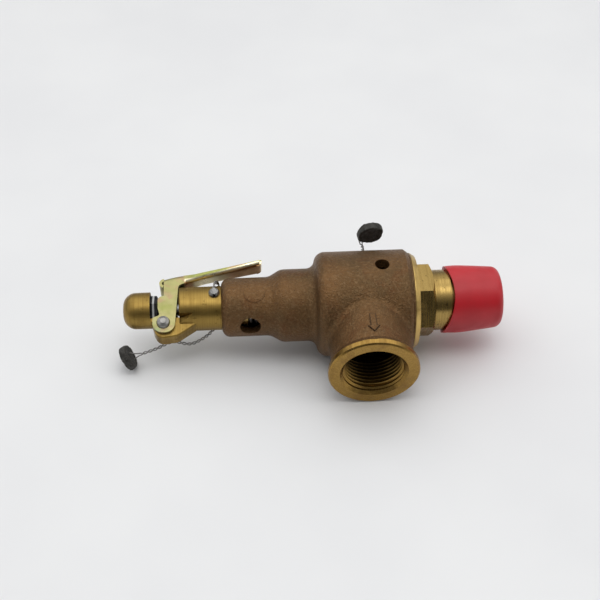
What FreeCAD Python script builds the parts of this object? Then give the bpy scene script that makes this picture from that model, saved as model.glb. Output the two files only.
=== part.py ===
"""Pressure relief valve with a lift lever, 3/4 in tapered pipe thread inlet and outlet.

Frame, in millimetres: the origin is the centre of the inlet end. +X leaves the inlet along the
valve's axis, so the valve lies at negative X. -Y is the outlet's direction, and +Z is up.
Angles about the axis start at +Z and grow towards the outlet.
"""
import FreeCAD, Part
import math
import os
import re
import Sketcher

DIMENSIONS = {
    "casting": {
        "outlet_x": -56.5,
        "face_x": -34.7,
        "land_x": -37.9,
        "belly_x": -39.4,
        "shoulder_x": -78.7,
        "collar_x": -93.8,
        "neck_x": -99.0,
        "bonnet_x": -120.0,
        "spigot_x": -127.0,
        "land_radius": 21.3,
        "bevel_radius": 21.9,
        "belly_radius": 23.0,
        "collar_radius": 16.0,
        "neck_radius": 12.9,
        "spigot_radius": 8.1,
        "land_round": 2.0,
        "land_edge_depth": 1.2,
        "land_edge_width": 1.9,
        "shoulder_round": 4.6,
        "shoulder_hollow": 3.8,
        "collar_round": 6.0,
        "neck_hollow": 6.0,
        "bonnet_round": 3.6,
        "boss_hollow": 3.5,
    },
    "casting_inside": {
        "chamber_near_x": -45.0,
        "chamber_far_x": -74.5,
        "chamber_radius": 18.4,
        "nozzle_seat_radius": 15.5,
        "guide_radius": 11.0,
        "guide_end_x": -97.0,
        "spring_bore_radius": 9.4,
        "spring_bore_end_x": -112.0,
        "screw_bore_radius": 6.0,
    },
    "outlet": {
        "outlet_reach": 40.3,
        "boss_radius": 17.7,
        "flare_start": 34.6,
        "flare_end": 37.6,
        "rim_radius": 19.45,
        "rim_edge": 0.6,
        "mouth_radius": 14.6,
        "mouth_depth": 1.3,
        "outlet_thread_radius": 13.3,
        "outlet_thread_end": 22.3,
        "duct_radius": 11.4,
        "duct_start": 14.4,
    },
    "holes_in_casting": {
        "vent_x": -107.6,
        "vent_angle": 85.0,
        "vent_radius": 4.5,
        "drain_x": -50.2,
        "drain_angle": -3.0,
        "drain_radius": 3.15,
        "ring_screw_x": -52.0,
        "ring_screw_angle": -90.0,
        "ring_boss_radius": 5.5,
        "ring_boss_height": 24.4,
        "cap_screw_x": -122.9,
        "cap_screw_angle": 0.0,
    },
    "raised_marks": {
        "arrow_tail": 22.3,
        "arrow_neck": 28.8,
        "arrow_tip": 32.0,
        "arrow_shaft_half": 1.25,
        "arrow_head_half": 2.4,
        "arrow_rise": 0.45,
        "pad_x": -105.5,
        "pad_angle": 13.0,
        "pad_radius": 4.6,
        "pad_rise": 0.25,
    },
    "nozzle": {
        "thread_end_radius": 12.65,
        "thread_depth": 1.1,
        "thread_chamfer": 0.9,
        "thread_start_x": -20.0,
        "thread_start_radius": 13.3,
        "nozzle_neck_radius": 13.35,
        "hex_end_x": -27.2,
        "hex_across_flats": 28.6,
        "hex_turn": 28.0,
        "hex_face_radius": 14.1,
        "hex_bevel_depth": 1.6,
        "hex_corner_reach": 17.0,
        "nozzle_seat_end_x": -44.6,
        "nozzle_tube_radius": 9.5,
        "nozzle_lip_radius": 6.6,
        "nozzle_lip_x": -54.0,
        "seat_x": -55.0,
        "inlet_bore_radius": 9.0,
        "inlet_bore_end_x": -31.0,
        "throat_x": -42.0,
        "throat_radius": 4.6,
    },
    "thread_protector": {
        "protector_lip_x": -24.0,
        "protector_lip_radius": 14.6,
        "protector_belly_x": -16.0,
        "protector_belly_radius": 15.05,
        "protector_end_x": 3.0,
        "protector_end_radius": 13.3,
        "protector_smooth": 45.0,
        "protector_gap": 0.1,
        "protector_floor_x": 0.4,
        "protector_round": 3.4,
        "protector_tilt": 1.2,
        "protector_shift_y": 0.31,
        "protector_shift_z": 0.28,
        "lip_front_x": -18.85,
        "lip_wave_radius": 35.3,
        "lip_wave_turn": 42.0,
        "lip_wave_offset": 2.12,
        "lip_wave_reach": 50.0,
    },
    "blowdown_ring": {
        "ring_near_x": -48.6,
        "ring_far_x": -55.6,
        "ring_radius": 12.6,
        "ring_bore_gap": 0.05,
        "ring_notches": 16,
        "ring_notch_width": 2.1,
        "ring_notch_depth": 1.5,
    },
    "screws": {
        "ring_shank_radius": 2.95,
        "ring_tip_radius": 0.85,
        "ring_tip_reach": 11.4,
        "ring_shank_reach": 15.0,
        "ring_head_across": 8.0,
        "ring_head_height": 4.0,
        "wire_hole_radius": 0.65,
        "wire_hole_height": 2.2,
        "cap_shank_radius": 1.6,
        "cap_shank_reach": 7.3,
        "cap_head_radius": 2.4,
        "cap_head_height": 2.3,
        "cap_head_round": 1.5,
        "cap_wire_hole_height": 0.85,
        "cap_slot_width": 0.8,
        "cap_slot_depth": 0.6,
        "groove_gap": 0.2,
    },
    "disc_and_holder": {
        "disc_radius": 7.1,
        "disc_face_gap": 0.02,
        "disc_far_x": -58.0,
        "holder_near_x": -56.0,
        "holder_flange_x": -60.5,
        "holder_flange_radius": 9.8,
        "holder_neck_radius": 6.5,
        "holder_skirt_x": -73.0,
        "holder_skirt_radius": 10.94,
        "holder_far_x": -91.0,
        "holder_pocket_x": -80.0,
        "holder_pocket_radius": 9.0,
        "holder_bore_end_x": -63.9,
        "pin_x": -69.0,
        "pin_radius": 0.9,
        "pin_length": 12.4,
    },
    "spindle_and_spring": {
        "spindle_near_x": -64.1,
        "spindle_far_x": -158.4,
        "spindle_radius": 2.95,
        "spindle_fit": 0.07,
        "spindle_tip": 1.0,
        "spindle_collar_near_x": -81.0,
        "spindle_collar_x": -83.0,
        "spindle_collar_radius": 4.6,
        "step_thickness": 2.8,
        "step_radius": 8.5,
        "step_boss_radius": 5.3,
        "step_boss_height": 2.0,
        "spring_far_x": -108.6,
        "spring_wire_radius": 1.1,
        "spring_mean_radius": 6.9,
        "spring_coils": 6.5,
        "spring_end_gap": 0.05,
    },
    "load_screw": {
        "load_screw_far_x": -134.5,
        "load_screw_radius": 5.95,
        "load_screw_square": 8.0,
        "load_screw_square_x": -131.8,
        "lock_nut_thickness": 4.4,
        "lock_nut_across": 13.0,
    },
    "cap": {
        "cap_sleeve_radius": 9.65,
        "cap_sleeve_bore": 8.15,
        "cap_sleeve_floor_x": -132.0,
        "cap_step_x": -138.3,
        "cap_dome_radius": 8.0,
        "cap_dome_bore": 6.7,
        "cap_dome_near_x": -151.0,
        "cap_bore_end_x": -161.1,
        "cap_top_x": -162.9,
        "cap_top_round": 5.6,
        "cap_step_round": 0.8,
        "cap_slot_floor": -5.8,
        "lug_half": 3.6,
        "lug_bottom": -15.7,
        "lug_left_x": -148.0,
        "lug_heel_x": -150.6,
        "lug_heel": -7.0,
        "lug_right_x": -139.2,
        "lug_toe": -14.6,
        "gusset_x": -130.2,
        "gusset_top": -8.6,
        "ramp_x": -131.2,
        "ramp_half": 8.2,
        "lug_round": 4.0,
        "lug_edge_round": 0.7,
    },
    "lever": {
        "lever_angle": -76.0,
        "sheet": 1.5,
        "arm_half": 5.3,
        "pivot_x": -145.2,
        "pivot_height": -8.8,
        "rivet_radius": 1.6,
        "rivet_fit": 0.06,
        "rivet_head_radius": 2.95,
        "rivet_head_height": 1.9,
        "rivet_head_gap": 0.08,
        "rivet_head_round": 1.75,
        "arm_left_x": -145.0,
        "arm_end_radius": 4.7,
        "cam_x": -147.65,
        "cam_top": 3.9,
        "cam_low": -2.0,
        "cam_heel_x": -146.7,
        "cam_heel": -5.2,
        "arm_root_top": 11.0,
        "arm_right_x": -138.65,
        "arm_right_height": 8.5,
        "arm_throat_x": -137.9,
        "arm_throat_height": 9.9,
        "cam_round": 2.3,
        "bend_radius": 2.0,
        "curl_radius": 2.2,
        "curl_half": 5.0,
        "curl_top": 12.85,
        "curl_start": 90.0,
        "curl_turn": 165.0,
        "tip_x": -103.9,
        "tip_floor": 18.5,
        "tip_radius": 2.3,
        "tip_half": 3.6,
        "tip_start": -92.0,
        "tip_turn": 112.0,
        "curl_sheet": 1.2,
    },
    "lift_nuts": {
        "lift_nut_x": -147.75,
        "lift_nut_thickness": 5.0,
        "lift_lock_thickness": 3.6,
        "lift_nut_across": 11.0,
        "nut_bevel": 0.75,
    },
    "seals": {
        "wire_radius": 0.55,
        "seal_radius": 5.8,
        "seal_thickness": 3.4,
        "seal_round": 0.9,
        "seal_bore_radius": 0.6,
        "seal_bore_depth": 1.35,
    },
}

# The lever's channels: station, half width, height of the flanges' far edges, height of their near edges.
# Over the arms the web joins the far edges; along the handle it joins the near ones, next to the valve.
ROOT_CHANNEL = [
    (-145.0, 5.3, 12.85, 8.2),
    (-141.0, 5.3, 13.9, 8.4),
    (-138.9, 5.3, 14.3, 8.8),
    (-137.2, 5.2, 14.6, 9.9),
    (-135.4, 4.9, 14.9, 10.6),
]
HANDLE_CHANNEL = [
    (-136.4, 5.05, 14.1, 10.3),
    (-134.4, 4.7, 14.5, 11.1),
    (-131.4, 4.2, 15.15, 12.3),
    (-127.5, 4.1, 16.05, 13.5),
    (-115.5, 4.3, 18.4, 16.1),
    (-104.6, 4.7, 20.5, 18.3),
    (-102.6, 4.6, 21.1, 18.9),
]

# Routes of the seal wires, each from its screw head to its lead seal.
CAP_WIRE = [
    (-122.9, 1.6, 10.5),
    (-122.8, 4.6, 10.3),
    (-122.0, 8.3, 8.3),
    (-121.3, 10.9, 4.2),
    (-121.2, 11.6, -0.8),
    (-121.0, 10.3, -5.8),
    (-121.0, 6.7, -9.9),
    (-122.2, 1.7, -12.0),
    (-125.2, -3.4, -12.6),
    (-129.8, -7.8, -12.2),
    (-134.4, -10.3, -12.0),
    (-138.2, -10.0, -11.0),
    (-141.6, -8.6, -11.2),
    (-145.2, -9.4, -11.9),
    (-148.8, -11.6, -12.2),
    (-152.8, -13.0, -12.4),
    (-157.3, -13.5, -13.8),
    (-161.5, -13.2, -15.7),
]
RING_WIRE = [
    (-52.0, 26.6, -3.4),
    (-52.0, 26.8, -7.4),
    (-53.0, 27.4, -12.0),
    (-56.2, 28.2, -15.8),
    (-61.0, 29.0, -17.2),
    (-65.6, 29.8, -15.4),
    (-68.2, 30.4, -11.4),
    (-67.4, 30.8, -6.8),
    (-63.8, 31.0, -4.0),
    (-59.6, 31.2, -4.1),
    (-56.0, 31.2, -2.1),
    (-54.4, 30.8, 2.0),
    (-56.2, 29.6, 7.6),
    (-56.2, 28.4, 12.0),
]

# Each lead seal: its centre and the way its flat faces look.
CAP_SEAL = ((-161.9, -13.2, -15.9), (0.91, 0.18, 0.43))
RING_SEAL = ((-52.4, 28.5, 15.0), (0.17, -0.97, -0.16))

doc = FreeCAD.newDocument("PressureReliefValve")
sizes = doc.addObject("Spreadsheet::Sheet", "Sizes")
ALIASES = set()


def fill_sheet():
    """Each group of dimensions is a block of rows: its name, then one row for each cell."""
    row = 1
    for group, cells in DIMENSIONS.items():
        sizes.set(f"A{row}", group)
        row += 1
        for alias, number in cells.items():
            sizes.set(f"A{row}", alias)
            sizes.set(f"B{row}", str(number))
            sizes.setAlias(f"B{row}", alias)
            ALIASES.add(alias)
            row += 1
    doc.recompute()


def expression(text):
    """Write the sheet's name before each of its aliases."""
    return re.sub(r"[a-z_]+", lambda m: "Sizes." + m[0] if m[0] in ALIASES else m[0], text)


def value(text):
    return float(sizes.evalExpression(expression(text)))


def bind(obj, **properties):
    """Bind properties to expressions; a double underscore stands for a dot."""
    for name, text in properties.items():
        obj.setExpression(name.replace("__", "."), expression(text))


def turn_about_axis(obj, angle):
    """Turn an object about the valve's axis by an angle from the sheet."""
    obj.Placement = FreeCAD.Placement(FreeCAD.Vector(), FreeCAD.Rotation(FreeCAD.Vector(1, 0, 0), 1))
    bind(obj, Placement__Rotation__Angle=angle)


# ---------------------------------------------------------------- sketches and features


def new_body(name, angle=None):
    body = doc.addObject("PartDesign::Body", name)
    if angle:
        turn_about_axis(body, angle)
    return body


def new_sketch(body, name, role):
    sketch = body.newObject("Sketcher::SketchObject", name)
    planes = [p for p in body.Origin.OriginFeatures if p.Role == role]
    sketch.AttachmentSupport = [(planes[0], "")]
    sketch.MapMode = "FlatFace"
    return sketch


def pin_point(sketch, edge, end, x_text, y_text):
    """Hold one end of an edge at a place given by two expressions."""
    for kind, text, axis in (("DistanceX", x_text, -2), ("DistanceY", y_text, -1)):
        number = value(text)
        if abs(number) < 1e-9:
            sketch.addConstraint(Sketcher.Constraint("PointOnObject", edge, end, axis))
            continue
        signed = expression(text) if number > 0 else f"-({expression(text)})"
        ends = (-1, 1, edge, end) if number > 0 else (edge, end, -1, 1)
        index = sketch.addConstraint(Sketcher.Constraint(kind, *ends, abs(number)))
        sketch.setExpression(f"Constraints[{index}]", signed)


def draw_polygon(sketch, points):
    corners = [FreeCAD.Vector(value(x), value(y), 0) for x, y in points]
    ends = corners[1:] + corners[:1]
    edges = [sketch.addGeometry(Part.LineSegment(a, b), False) for a, b in zip(corners, ends)]
    for edge, following, (x, y) in zip(edges, edges[1:] + edges[:1], points):
        sketch.addConstraint(Sketcher.Constraint("Coincident", edge, 2, following, 1))
        pin_point(sketch, edge, 1, x, y)


def draw_circle(sketch, x, y, radius):
    centre = FreeCAD.Vector(value(x), value(y), 0)
    circle = sketch.addGeometry(Part.Circle(centre, FreeCAD.Vector(0, 0, 1), value(radius)), False)
    pin_point(sketch, circle, 3, x, y)
    index = sketch.addConstraint(Sketcher.Constraint("Radius", circle, value(radius)))
    sketch.setExpression(f"Constraints[{index}]", expression(radius))


def solid_of(feature):
    """The feature's shape, tested, so that a feature that failed is named at once."""
    doc.recompute()
    if "Invalid" in feature.State or "Error" in feature.State or feature.Shape.isNull():
        raise RuntimeError(f"{feature.Name} failed: {feature.State}")
    return feature.Shape


def revolve(body, name, points, kind="Revolution", role="XZ_Plane"):
    """Turn a polygon of (station, radius) about the valve's axis."""
    sketch = new_sketch(body, name + "_sketch", role)
    draw_polygon(sketch, points)
    doc.recompute()
    feature = body.newObject("PartDesign::" + kind, name)
    feature.Profile = sketch
    feature.ReferenceAxis = (sketch, ["H_Axis"])
    feature.Angle = 360
    solid_of(feature)
    return feature


def revolve_about_outlet(body, name, points, kind="Revolution"):
    """Turn a polygon of (radius, reach) about the outlet's axis."""
    sketch = new_sketch(body, name + "_sketch", "XY_Plane")
    shifted = [(f"outlet_x + {radius}", f"-({reach})") for radius, reach in points]
    draw_polygon(sketch, shifted)
    low, high = (FreeCAD.Vector(value("outlet_x"), y, 0) for y in (-1, 0))
    axis = sketch.addGeometry(Part.LineSegment(low, high), True)
    pin_point(sketch, axis, 2, "outlet_x", "0")
    sketch.addConstraint(Sketcher.Constraint("Vertical", axis))
    length = sketch.addConstraint(Sketcher.Constraint("Distance", axis, 1))
    sketch.setDatum(length, 1)
    doc.recompute()
    feature = body.newObject("PartDesign::" + kind, name)
    feature.Profile = sketch
    feature.ReferenceAxis = (sketch, ["Axis0"])
    feature.Angle = 360
    solid_of(feature)
    return feature


def pad(body, name, role, draw, length, midplane=True, kind="Pad", reverse=False, through=False):
    """Pad or pocket what draw(sketch) draws on one of the body's planes."""
    sketch = new_sketch(body, name + "_sketch", role)
    draw(sketch)
    doc.recompute()
    feature = body.newObject("PartDesign::" + kind, name)
    feature.Profile = sketch
    feature.Midplane = midplane
    feature.Reversed = reverse
    if through:
        feature.Type = "ThroughAll"
    else:
        bind(feature, Length=length)
    solid_of(feature)
    return feature


def ease_edges(body, name, chosen, size, kind="Fillet"):
    """Fillet or chamfer the edges of the body's tip that chosen(edge) picks."""
    base = body.Tip
    shape = solid_of(base)
    names = [f"Edge{i + 1}" for i, edge in enumerate(shape.Edges) if chosen(edge)]
    if not names:
        raise RuntimeError(f"{name}: no edge was chosen")
    feature = body.newObject("PartDesign::" + kind, name)
    feature.Base = (base, names)
    bind(feature, **{"Radius" if kind == "Fillet" else "Size": size})
    solid_of(feature)
    return feature


def circle_at(station, radius):
    """Choose the circular edges round the valve's axis at a station."""
    x, r = value(station), value(radius)

    def chosen(edge):
        curve = edge.Curve
        if not isinstance(curve, Part.Circle):
            return False
        return abs(curve.Center.x - x) < 1e-3 and abs(curve.Radius - r) < 1e-3

    return chosen


def edge_through(x_text, y_text, direction):
    """Choose straight edges along a direction that pass a point of their own plane."""
    wanted = FreeCAD.Vector(*direction)
    axis = [i for i in range(3) if direction[i]][0]
    first, second = [i for i in range(3) if i != axis]
    a, b = value(x_text), value(y_text)

    def chosen(edge):
        if not isinstance(edge.Curve, Part.Line) or edge.Curve.Direction.cross(wanted).Length > 1e-6:
            return False
        point = edge.Vertexes[0].Point
        return abs(point[first] - a) < 1e-3 and abs(point[second] - b) < 1e-3

    return chosen


# ---------------------------------------------------------------- plain shapes and booleans


def axial_cylinder(name, start, end, radius):
    """A cylinder on the valve's axis between two stations, start being the nearer to the inlet."""
    rod = doc.addObject("Part::Cylinder", name)
    rod.Placement = FreeCAD.Placement(FreeCAD.Vector(), FreeCAD.Rotation(FreeCAD.Vector(0, 1, 0), 90))
    bind(rod, Radius=radius, Height=f"({start}) - ({end})", Placement__Base__x=end)
    return rod


def radial(obj, station, angle, start="0"):
    """Stand an object's own Z axis on the valve's axis, pointing outwards at an angle."""
    turn_about_axis(obj, angle)
    bind(
        obj,
        Placement__Base__x=station,
        Placement__Base__y=f"-({start}) * sin(({angle}) * 1 deg)",
        Placement__Base__z=f"({start}) * cos(({angle}) * 1 deg)",
    )
    return obj


def radial_cylinder(name, station, angle, radius, start, end):
    rod = doc.addObject("Part::Cylinder", name)
    bind(rod, Radius=radius, Height=f"({end}) - ({start})")
    return radial(rod, station, angle, start)


def boolean(kind, name, base, tools):
    """Cut tools from a base, or fuse or intersect them with it."""
    if kind == "Cut" and len(tools) > 1:
        tools = [boolean("Fuse", name + "_tools", tools[0], tools[1:])]
    if kind == "Fuse":
        feature = doc.addObject("Part::MultiFuse", name)
        feature.Shapes = [base] + tools
    elif kind == "Common":
        feature = doc.addObject("Part::MultiCommon", name)
        feature.Shapes = [base] + tools
    else:
        feature = doc.addObject("Part::Cut", name)
        feature.Base, feature.Tool = base, tools[0]
    solid_of(feature)
    return feature


def hexagon(sketch, x, across, turn="0"):
    """Draw a regular hexagon about a centre on the sketch's X axis."""
    corners = []
    for i in range(6):
        angle = f"(({turn}) + {60 * i}) * 1 deg"
        reach = f"({across}) / 2 / cos(30 deg)"
        corners.append((f"({x}) + {reach} * cos({angle})", f"{reach} * sin({angle})"))
    draw_polygon(sketch, corners)


SUB_PARTS = {}


def keep(name, obj):
    """Name a finished sub-part; the name is its file's name too."""
    obj.Label = name
    SUB_PARTS[name] = obj


# ---------------------------------------------------------------- the casting


def make_valve_body():
    form = new_body("casting")
    revolve(form, "casting_outside", [
        ("spigot_x", "0"), ("face_x", "0"), ("face_x", "belly_radius"), ("shoulder_x", "belly_radius"),
        ("shoulder_x", "collar_radius"), ("collar_x", "collar_radius"), ("neck_x", "neck_radius"),
        ("bonnet_x", "neck_radius"), ("bonnet_x", "spigot_radius"), ("spigot_x", "spigot_radius"),
    ])
    for name, station, radius, size in (
        ("shoulder_fillet", "shoulder_x", "belly_radius", "shoulder_round"),
        ("shoulder_cove", "shoulder_x", "collar_radius", "shoulder_hollow"),
        ("collar_fillet", "collar_x", "collar_radius", "collar_round"),
        ("neck_cove", "neck_x", "neck_radius", "neck_hollow"),
        ("bonnet_fillet", "bonnet_x", "neck_radius", "bonnet_round"),
    ):
        ease_edges(form, name, circle_at(station, radius), size)
    revolve_about_outlet(form, "boss", [
        ("0", "0"), ("boss_radius", "0"), ("boss_radius", "flare_start"), ("rim_radius", "flare_end"),
        ("rim_radius", "outlet_reach"), ("0", "outlet_reach"),
    ])

    def round_boss(edge):
        curved = not isinstance(edge.Curve, (Part.Circle, Part.Line))
        return curved and -value("flare_start") < edge.CenterOfMass.y < -value("neck_radius")

    ease_edges(form, "boss_fillet", round_boss, "boss_hollow")
    revolve(form, "land", [
        ("belly_x", "belly_radius"), ("land_x", "bevel_radius"), ("land_x", "land_radius"),
        ("face_x - land_edge_width", "land_radius"), ("face_x", "land_radius - land_edge_depth"),
        ("face_x + 1", "land_radius - land_edge_depth"),
        ("face_x + 1", "rim_radius + screw_bore_radius * 2"),
        ("land_x", "rim_radius + screw_bore_radius * 2"), ("land_x", "2 * belly_radius - bevel_radius"),
    ], kind="Groove")
    reach = -value("outlet_reach")

    def rim_corner(edge):
        on_rim = isinstance(edge.Curve, Part.Circle) and abs(edge.Curve.Center.y - reach) < 1e-3
        return on_rim and abs(edge.Curve.Radius - value("rim_radius")) < 1e-3

    ease_edges(form, "rim_chamfer", rim_corner, "rim_edge", "Chamfer")

    arrow = new_body("arrow")
    points = [
        ("outlet_x - arrow_shaft_half", "-arrow_tail"), ("outlet_x + arrow_shaft_half", "-arrow_tail"),
        ("outlet_x + arrow_shaft_half", "-arrow_neck"), ("outlet_x + arrow_head_half", "-arrow_neck"),
        ("outlet_x", "-arrow_tip"), ("outlet_x - arrow_head_half", "-arrow_neck"),
        ("outlet_x - arrow_shaft_half", "-arrow_neck"),
    ]
    pad(arrow, "arrow_pad", "XY_Plane", lambda s: draw_polygon(s, points), "belly_radius", midplane=False)
    arrow_skin = doc.addObject("Part::Cylinder", "arrow_skin")
    arrow_skin.Placement.Rotation = FreeCAD.Rotation(FreeCAD.Vector(1, 0, 0), 90)
    bind(arrow_skin, Radius="boss_radius + arrow_rise", Height="outlet_reach", Placement__Base__x="outlet_x")
    raised_arrow = boolean("Common", "raised_arrow", arrow, [arrow_skin])

    pad_post = radial_cylinder("pad_post", "pad_x", "pad_angle", "pad_radius", "spring_bore_radius + 1",
                               "collar_radius")
    pad_skin = axial_cylinder("pad_skin", "neck_x", "bonnet_x", "neck_radius + pad_rise")
    raised_pad = boolean("Common", "raised_pad", pad_post, [pad_skin])
    ring_boss = radial_cylinder("ring_boss", "ring_screw_x", "ring_screw_angle", "ring_boss_radius",
                                "chamber_radius + 1", "ring_boss_height")
    whole = boolean("Fuse", "casting_with_marks", form, [raised_arrow, raised_pad, ring_boss])

    inside = new_body("casting_hollow")
    revolve(inside, "hollow_along_axis", [
        ("face_x + 1", "0"), ("face_x + 1", "nozzle_seat_radius"), ("chamber_near_x", "nozzle_seat_radius"),
        ("chamber_near_x", "chamber_radius"), ("chamber_far_x", "chamber_radius"),
        ("chamber_far_x", "guide_radius"), ("guide_end_x", "guide_radius"),
        ("guide_end_x", "spring_bore_radius"), ("spring_bore_end_x", "spring_bore_radius"),
        ("spring_bore_end_x", "screw_bore_radius"), ("spigot_x - 1", "screw_bore_radius"),
        ("spigot_x - 1", "0"),
    ])
    revolve_about_outlet(inside, "hollow_of_outlet", [
        ("0", "duct_start"), ("duct_radius", "duct_start"), ("duct_radius", "outlet_thread_end"),
        ("outlet_thread_radius", "outlet_thread_end"),
        ("outlet_thread_radius", "outlet_reach - mouth_depth"), ("mouth_radius", "outlet_reach"),
        ("mouth_radius", "outlet_reach + 1"), ("0", "outlet_reach + 1"),
    ])
    drills = [
        radial_cylinder("vent_drill", "vent_x", "vent_angle", "vent_radius", "0", "collar_radius"),
        radial_cylinder("drain_drill", "drain_x", "drain_angle", "drain_radius", "0", "belly_radius + 1"),
        radial_cylinder("ring_screw_drill", "ring_screw_x", "ring_screw_angle",
                        "ring_shank_radius + groove_gap / 4", "0", "belly_radius + nozzle_neck_radius"),
        radial_cylinder("cap_screw_drill", "cap_screw_x", "cap_screw_angle",
                        "cap_shank_radius + groove_gap / 2", "cap_shank_reach - groove_gap", "collar_radius"),
    ]
    keep("valve_body", boolean("Cut", "valve_body", whole, [inside] + drills))


# ---------------------------------------------------------------- inlet end


def make_nozzle():
    body = new_body("nozzle")
    revolve(body, "nozzle_outside", [
        ("seat_x", "0"), ("0", "0"), ("0", "thread_end_radius - thread_depth - thread_chamfer / 2"),
        ("-thread_chamfer", "thread_end_radius - thread_depth"),
        ("thread_start_x", "thread_start_radius - thread_depth"),
        ("thread_start_x", "nozzle_neck_radius"), ("face_x", "nozzle_neck_radius"),
        ("face_x", "nozzle_seat_radius"), ("nozzle_seat_end_x", "nozzle_seat_radius"),
        ("nozzle_seat_end_x", "nozzle_tube_radius"), ("nozzle_lip_x", "nozzle_tube_radius"),
        ("nozzle_lip_x", "nozzle_lip_radius"), ("seat_x", "nozzle_lip_radius"),
    ])
    sketch = new_sketch(body, "hexagon_sketch", "YZ_Plane")
    hexagon(sketch, "0", "hex_across_flats", "90 + hex_turn")
    sketch.AttachmentOffset = FreeCAD.Placement(FreeCAD.Vector(0, 0, 1), FreeCAD.Rotation())
    bind(sketch, AttachmentOffset__Base__z="face_x")
    doc.recompute()
    hexagon_pad = body.newObject("PartDesign::Pad", "hexagon_pad")
    hexagon_pad.Profile = sketch
    bind(hexagon_pad, Length="hex_end_x - face_x")
    solid_of(hexagon_pad)
    revolve(body, "hexagon_bevel", [
        ("hex_end_x + 1", "hex_face_radius"), ("hex_end_x", "hex_face_radius"),
        ("hex_end_x - hex_bevel_depth", "hex_corner_reach"), ("hex_end_x + 1", "hex_corner_reach"),
    ], kind="Groove")
    revolve(body, "nozzle_bore", [
        ("1", "0"), ("1", "inlet_bore_radius"), ("inlet_bore_end_x", "inlet_bore_radius"),
        ("throat_x", "throat_radius"), ("seat_x - 1", "throat_radius"), ("seat_x - 1", "0"),
    ], kind="Groove")
    keep("nozzle", body)


def make_thread_protector():
    """A soft cap, pushed on a little askew; its wall is barrel-shaped and its lip is wavy."""
    skin = new_body("protector_skin")
    revolve(skin, "protector_outside", [
        ("protector_lip_x", "0"), ("protector_lip_x", "protector_lip_radius"),
        ("protector_belly_x", "protector_belly_radius"), ("protector_end_x", "protector_end_radius"),
        ("protector_end_x", "0"),
    ])
    for name, station, radius, size in (
        ("protector_corner", "protector_end_x", "protector_end_radius", "protector_round"),
        ("protector_belly", "protector_belly_x", "protector_belly_radius", "protector_smooth"),
    ):
        ease_edges(skin, name, circle_at(station, radius), size)
    turn = math.radians(value("lip_wave_turn"))
    tilt_axis = FreeCAD.Vector(0, -math.sin(turn), math.cos(turn))
    skin.Placement.Rotation = FreeCAD.Rotation(tilt_axis, 1)
    bind(skin, Placement__Rotation__Angle="protector_tilt", Placement__Base__y="protector_shift_y",
         Placement__Base__z="protector_shift_z")
    hollow = new_body("protector_hollow")
    revolve(hollow, "protector_inside", [
        ("protector_lip_x - 1", "0"), ("protector_lip_x - 1", "nozzle_neck_radius + protector_gap"),
        ("thread_start_x", "nozzle_neck_radius + protector_gap"),
        ("protector_floor_x", "thread_end_radius + protector_gap"), ("protector_floor_x", "0"),
    ])
    wave = doc.addObject("Part::Cylinder", "protector_lip_wave")
    wave.Placement.Rotation = FreeCAD.Rotation(FreeCAD.Vector(1, 0, 0), 1)
    sine, cosine = "sin(lip_wave_turn * 1 deg)", "cos(lip_wave_turn * 1 deg)"
    bind(wave, Radius="lip_wave_radius", Height="2 * lip_wave_reach",
         Placement__Rotation__Angle="lip_wave_turn",
         Placement__Base__x="lip_front_x - lip_wave_radius",
         Placement__Base__y=f"lip_wave_reach * {sine} + lip_wave_offset * {cosine}",
         Placement__Base__z=f"lip_wave_offset * {sine} - lip_wave_reach * {cosine}")
    keep("thread_protector", boolean("Cut", "thread_protector", skin, [hollow, wave]))


def make_blowdown_ring():
    body = new_body("blowdown_ring")
    revolve(body, "ring_blank", [
        ("ring_near_x", "nozzle_tube_radius + ring_bore_gap"), ("ring_near_x", "ring_radius"),
        ("ring_far_x", "ring_radius"), ("ring_far_x", "ring_radius - step_thickness"),
        ("nozzle_lip_x", "nozzle_tube_radius + ring_bore_gap"),
    ])
    points = [
        ("ring_near_x + 1", "ring_radius - ring_notch_depth"), ("ring_near_x + 1", "ring_radius + 1"),
        ("ring_far_x - 1", "ring_radius + 1"), ("ring_far_x - 1", "ring_radius - ring_notch_depth"),
    ]
    notch = pad(body, "ring_notch", "XY_Plane", lambda s: draw_polygon(s, points), "ring_notch_width",
                kind="Pocket")
    pattern = body.newObject("PartDesign::PolarPattern", "ring_notches")
    pattern.Originals = [notch]
    pattern.Axis = (notch.Profile[0], ["H_Axis"])
    pattern.Angle = 360
    bind(pattern, Occurrences="ring_notches")
    body.Tip = pattern
    solid_of(pattern)
    keep("blowdown_ring", body)


def make_ring_screw():
    """A hexagon set screw with a pilot tip; its own Z axis points outwards from the ring."""
    body = new_body("ring_screw")
    revolve_upright(body, "ring_screw_shank", [
        ("0", "ring_tip_reach"), ("ring_tip_radius", "ring_tip_reach"),
        ("ring_tip_radius", "ring_shank_reach"), ("ring_shank_radius", "ring_shank_reach"),
        ("ring_shank_radius", "ring_boss_height"),
        ("0", "ring_boss_height"),
    ])
    head = new_sketch(body, "ring_screw_head_sketch", "XY_Plane")
    hexagon(head, "0", "ring_head_across")
    head.AttachmentOffset = FreeCAD.Placement(FreeCAD.Vector(0, 0, 1), FreeCAD.Rotation())
    bind(head, AttachmentOffset__Base__z="ring_boss_height")
    doc.recompute()
    block = body.newObject("PartDesign::Pad", "ring_screw_head")
    block.Profile = head
    bind(block, Length="ring_head_height")
    solid_of(block)
    pad(body, "ring_screw_wire_hole", "XZ_Plane",
        lambda s: draw_circle(s, "0", "ring_boss_height + wire_hole_height", "wire_hole_radius"),
        "ring_head_across", kind="Pocket", through=True)
    radial(body, "ring_screw_x", "ring_screw_angle")
    keep("ring_screw", body)


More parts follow.
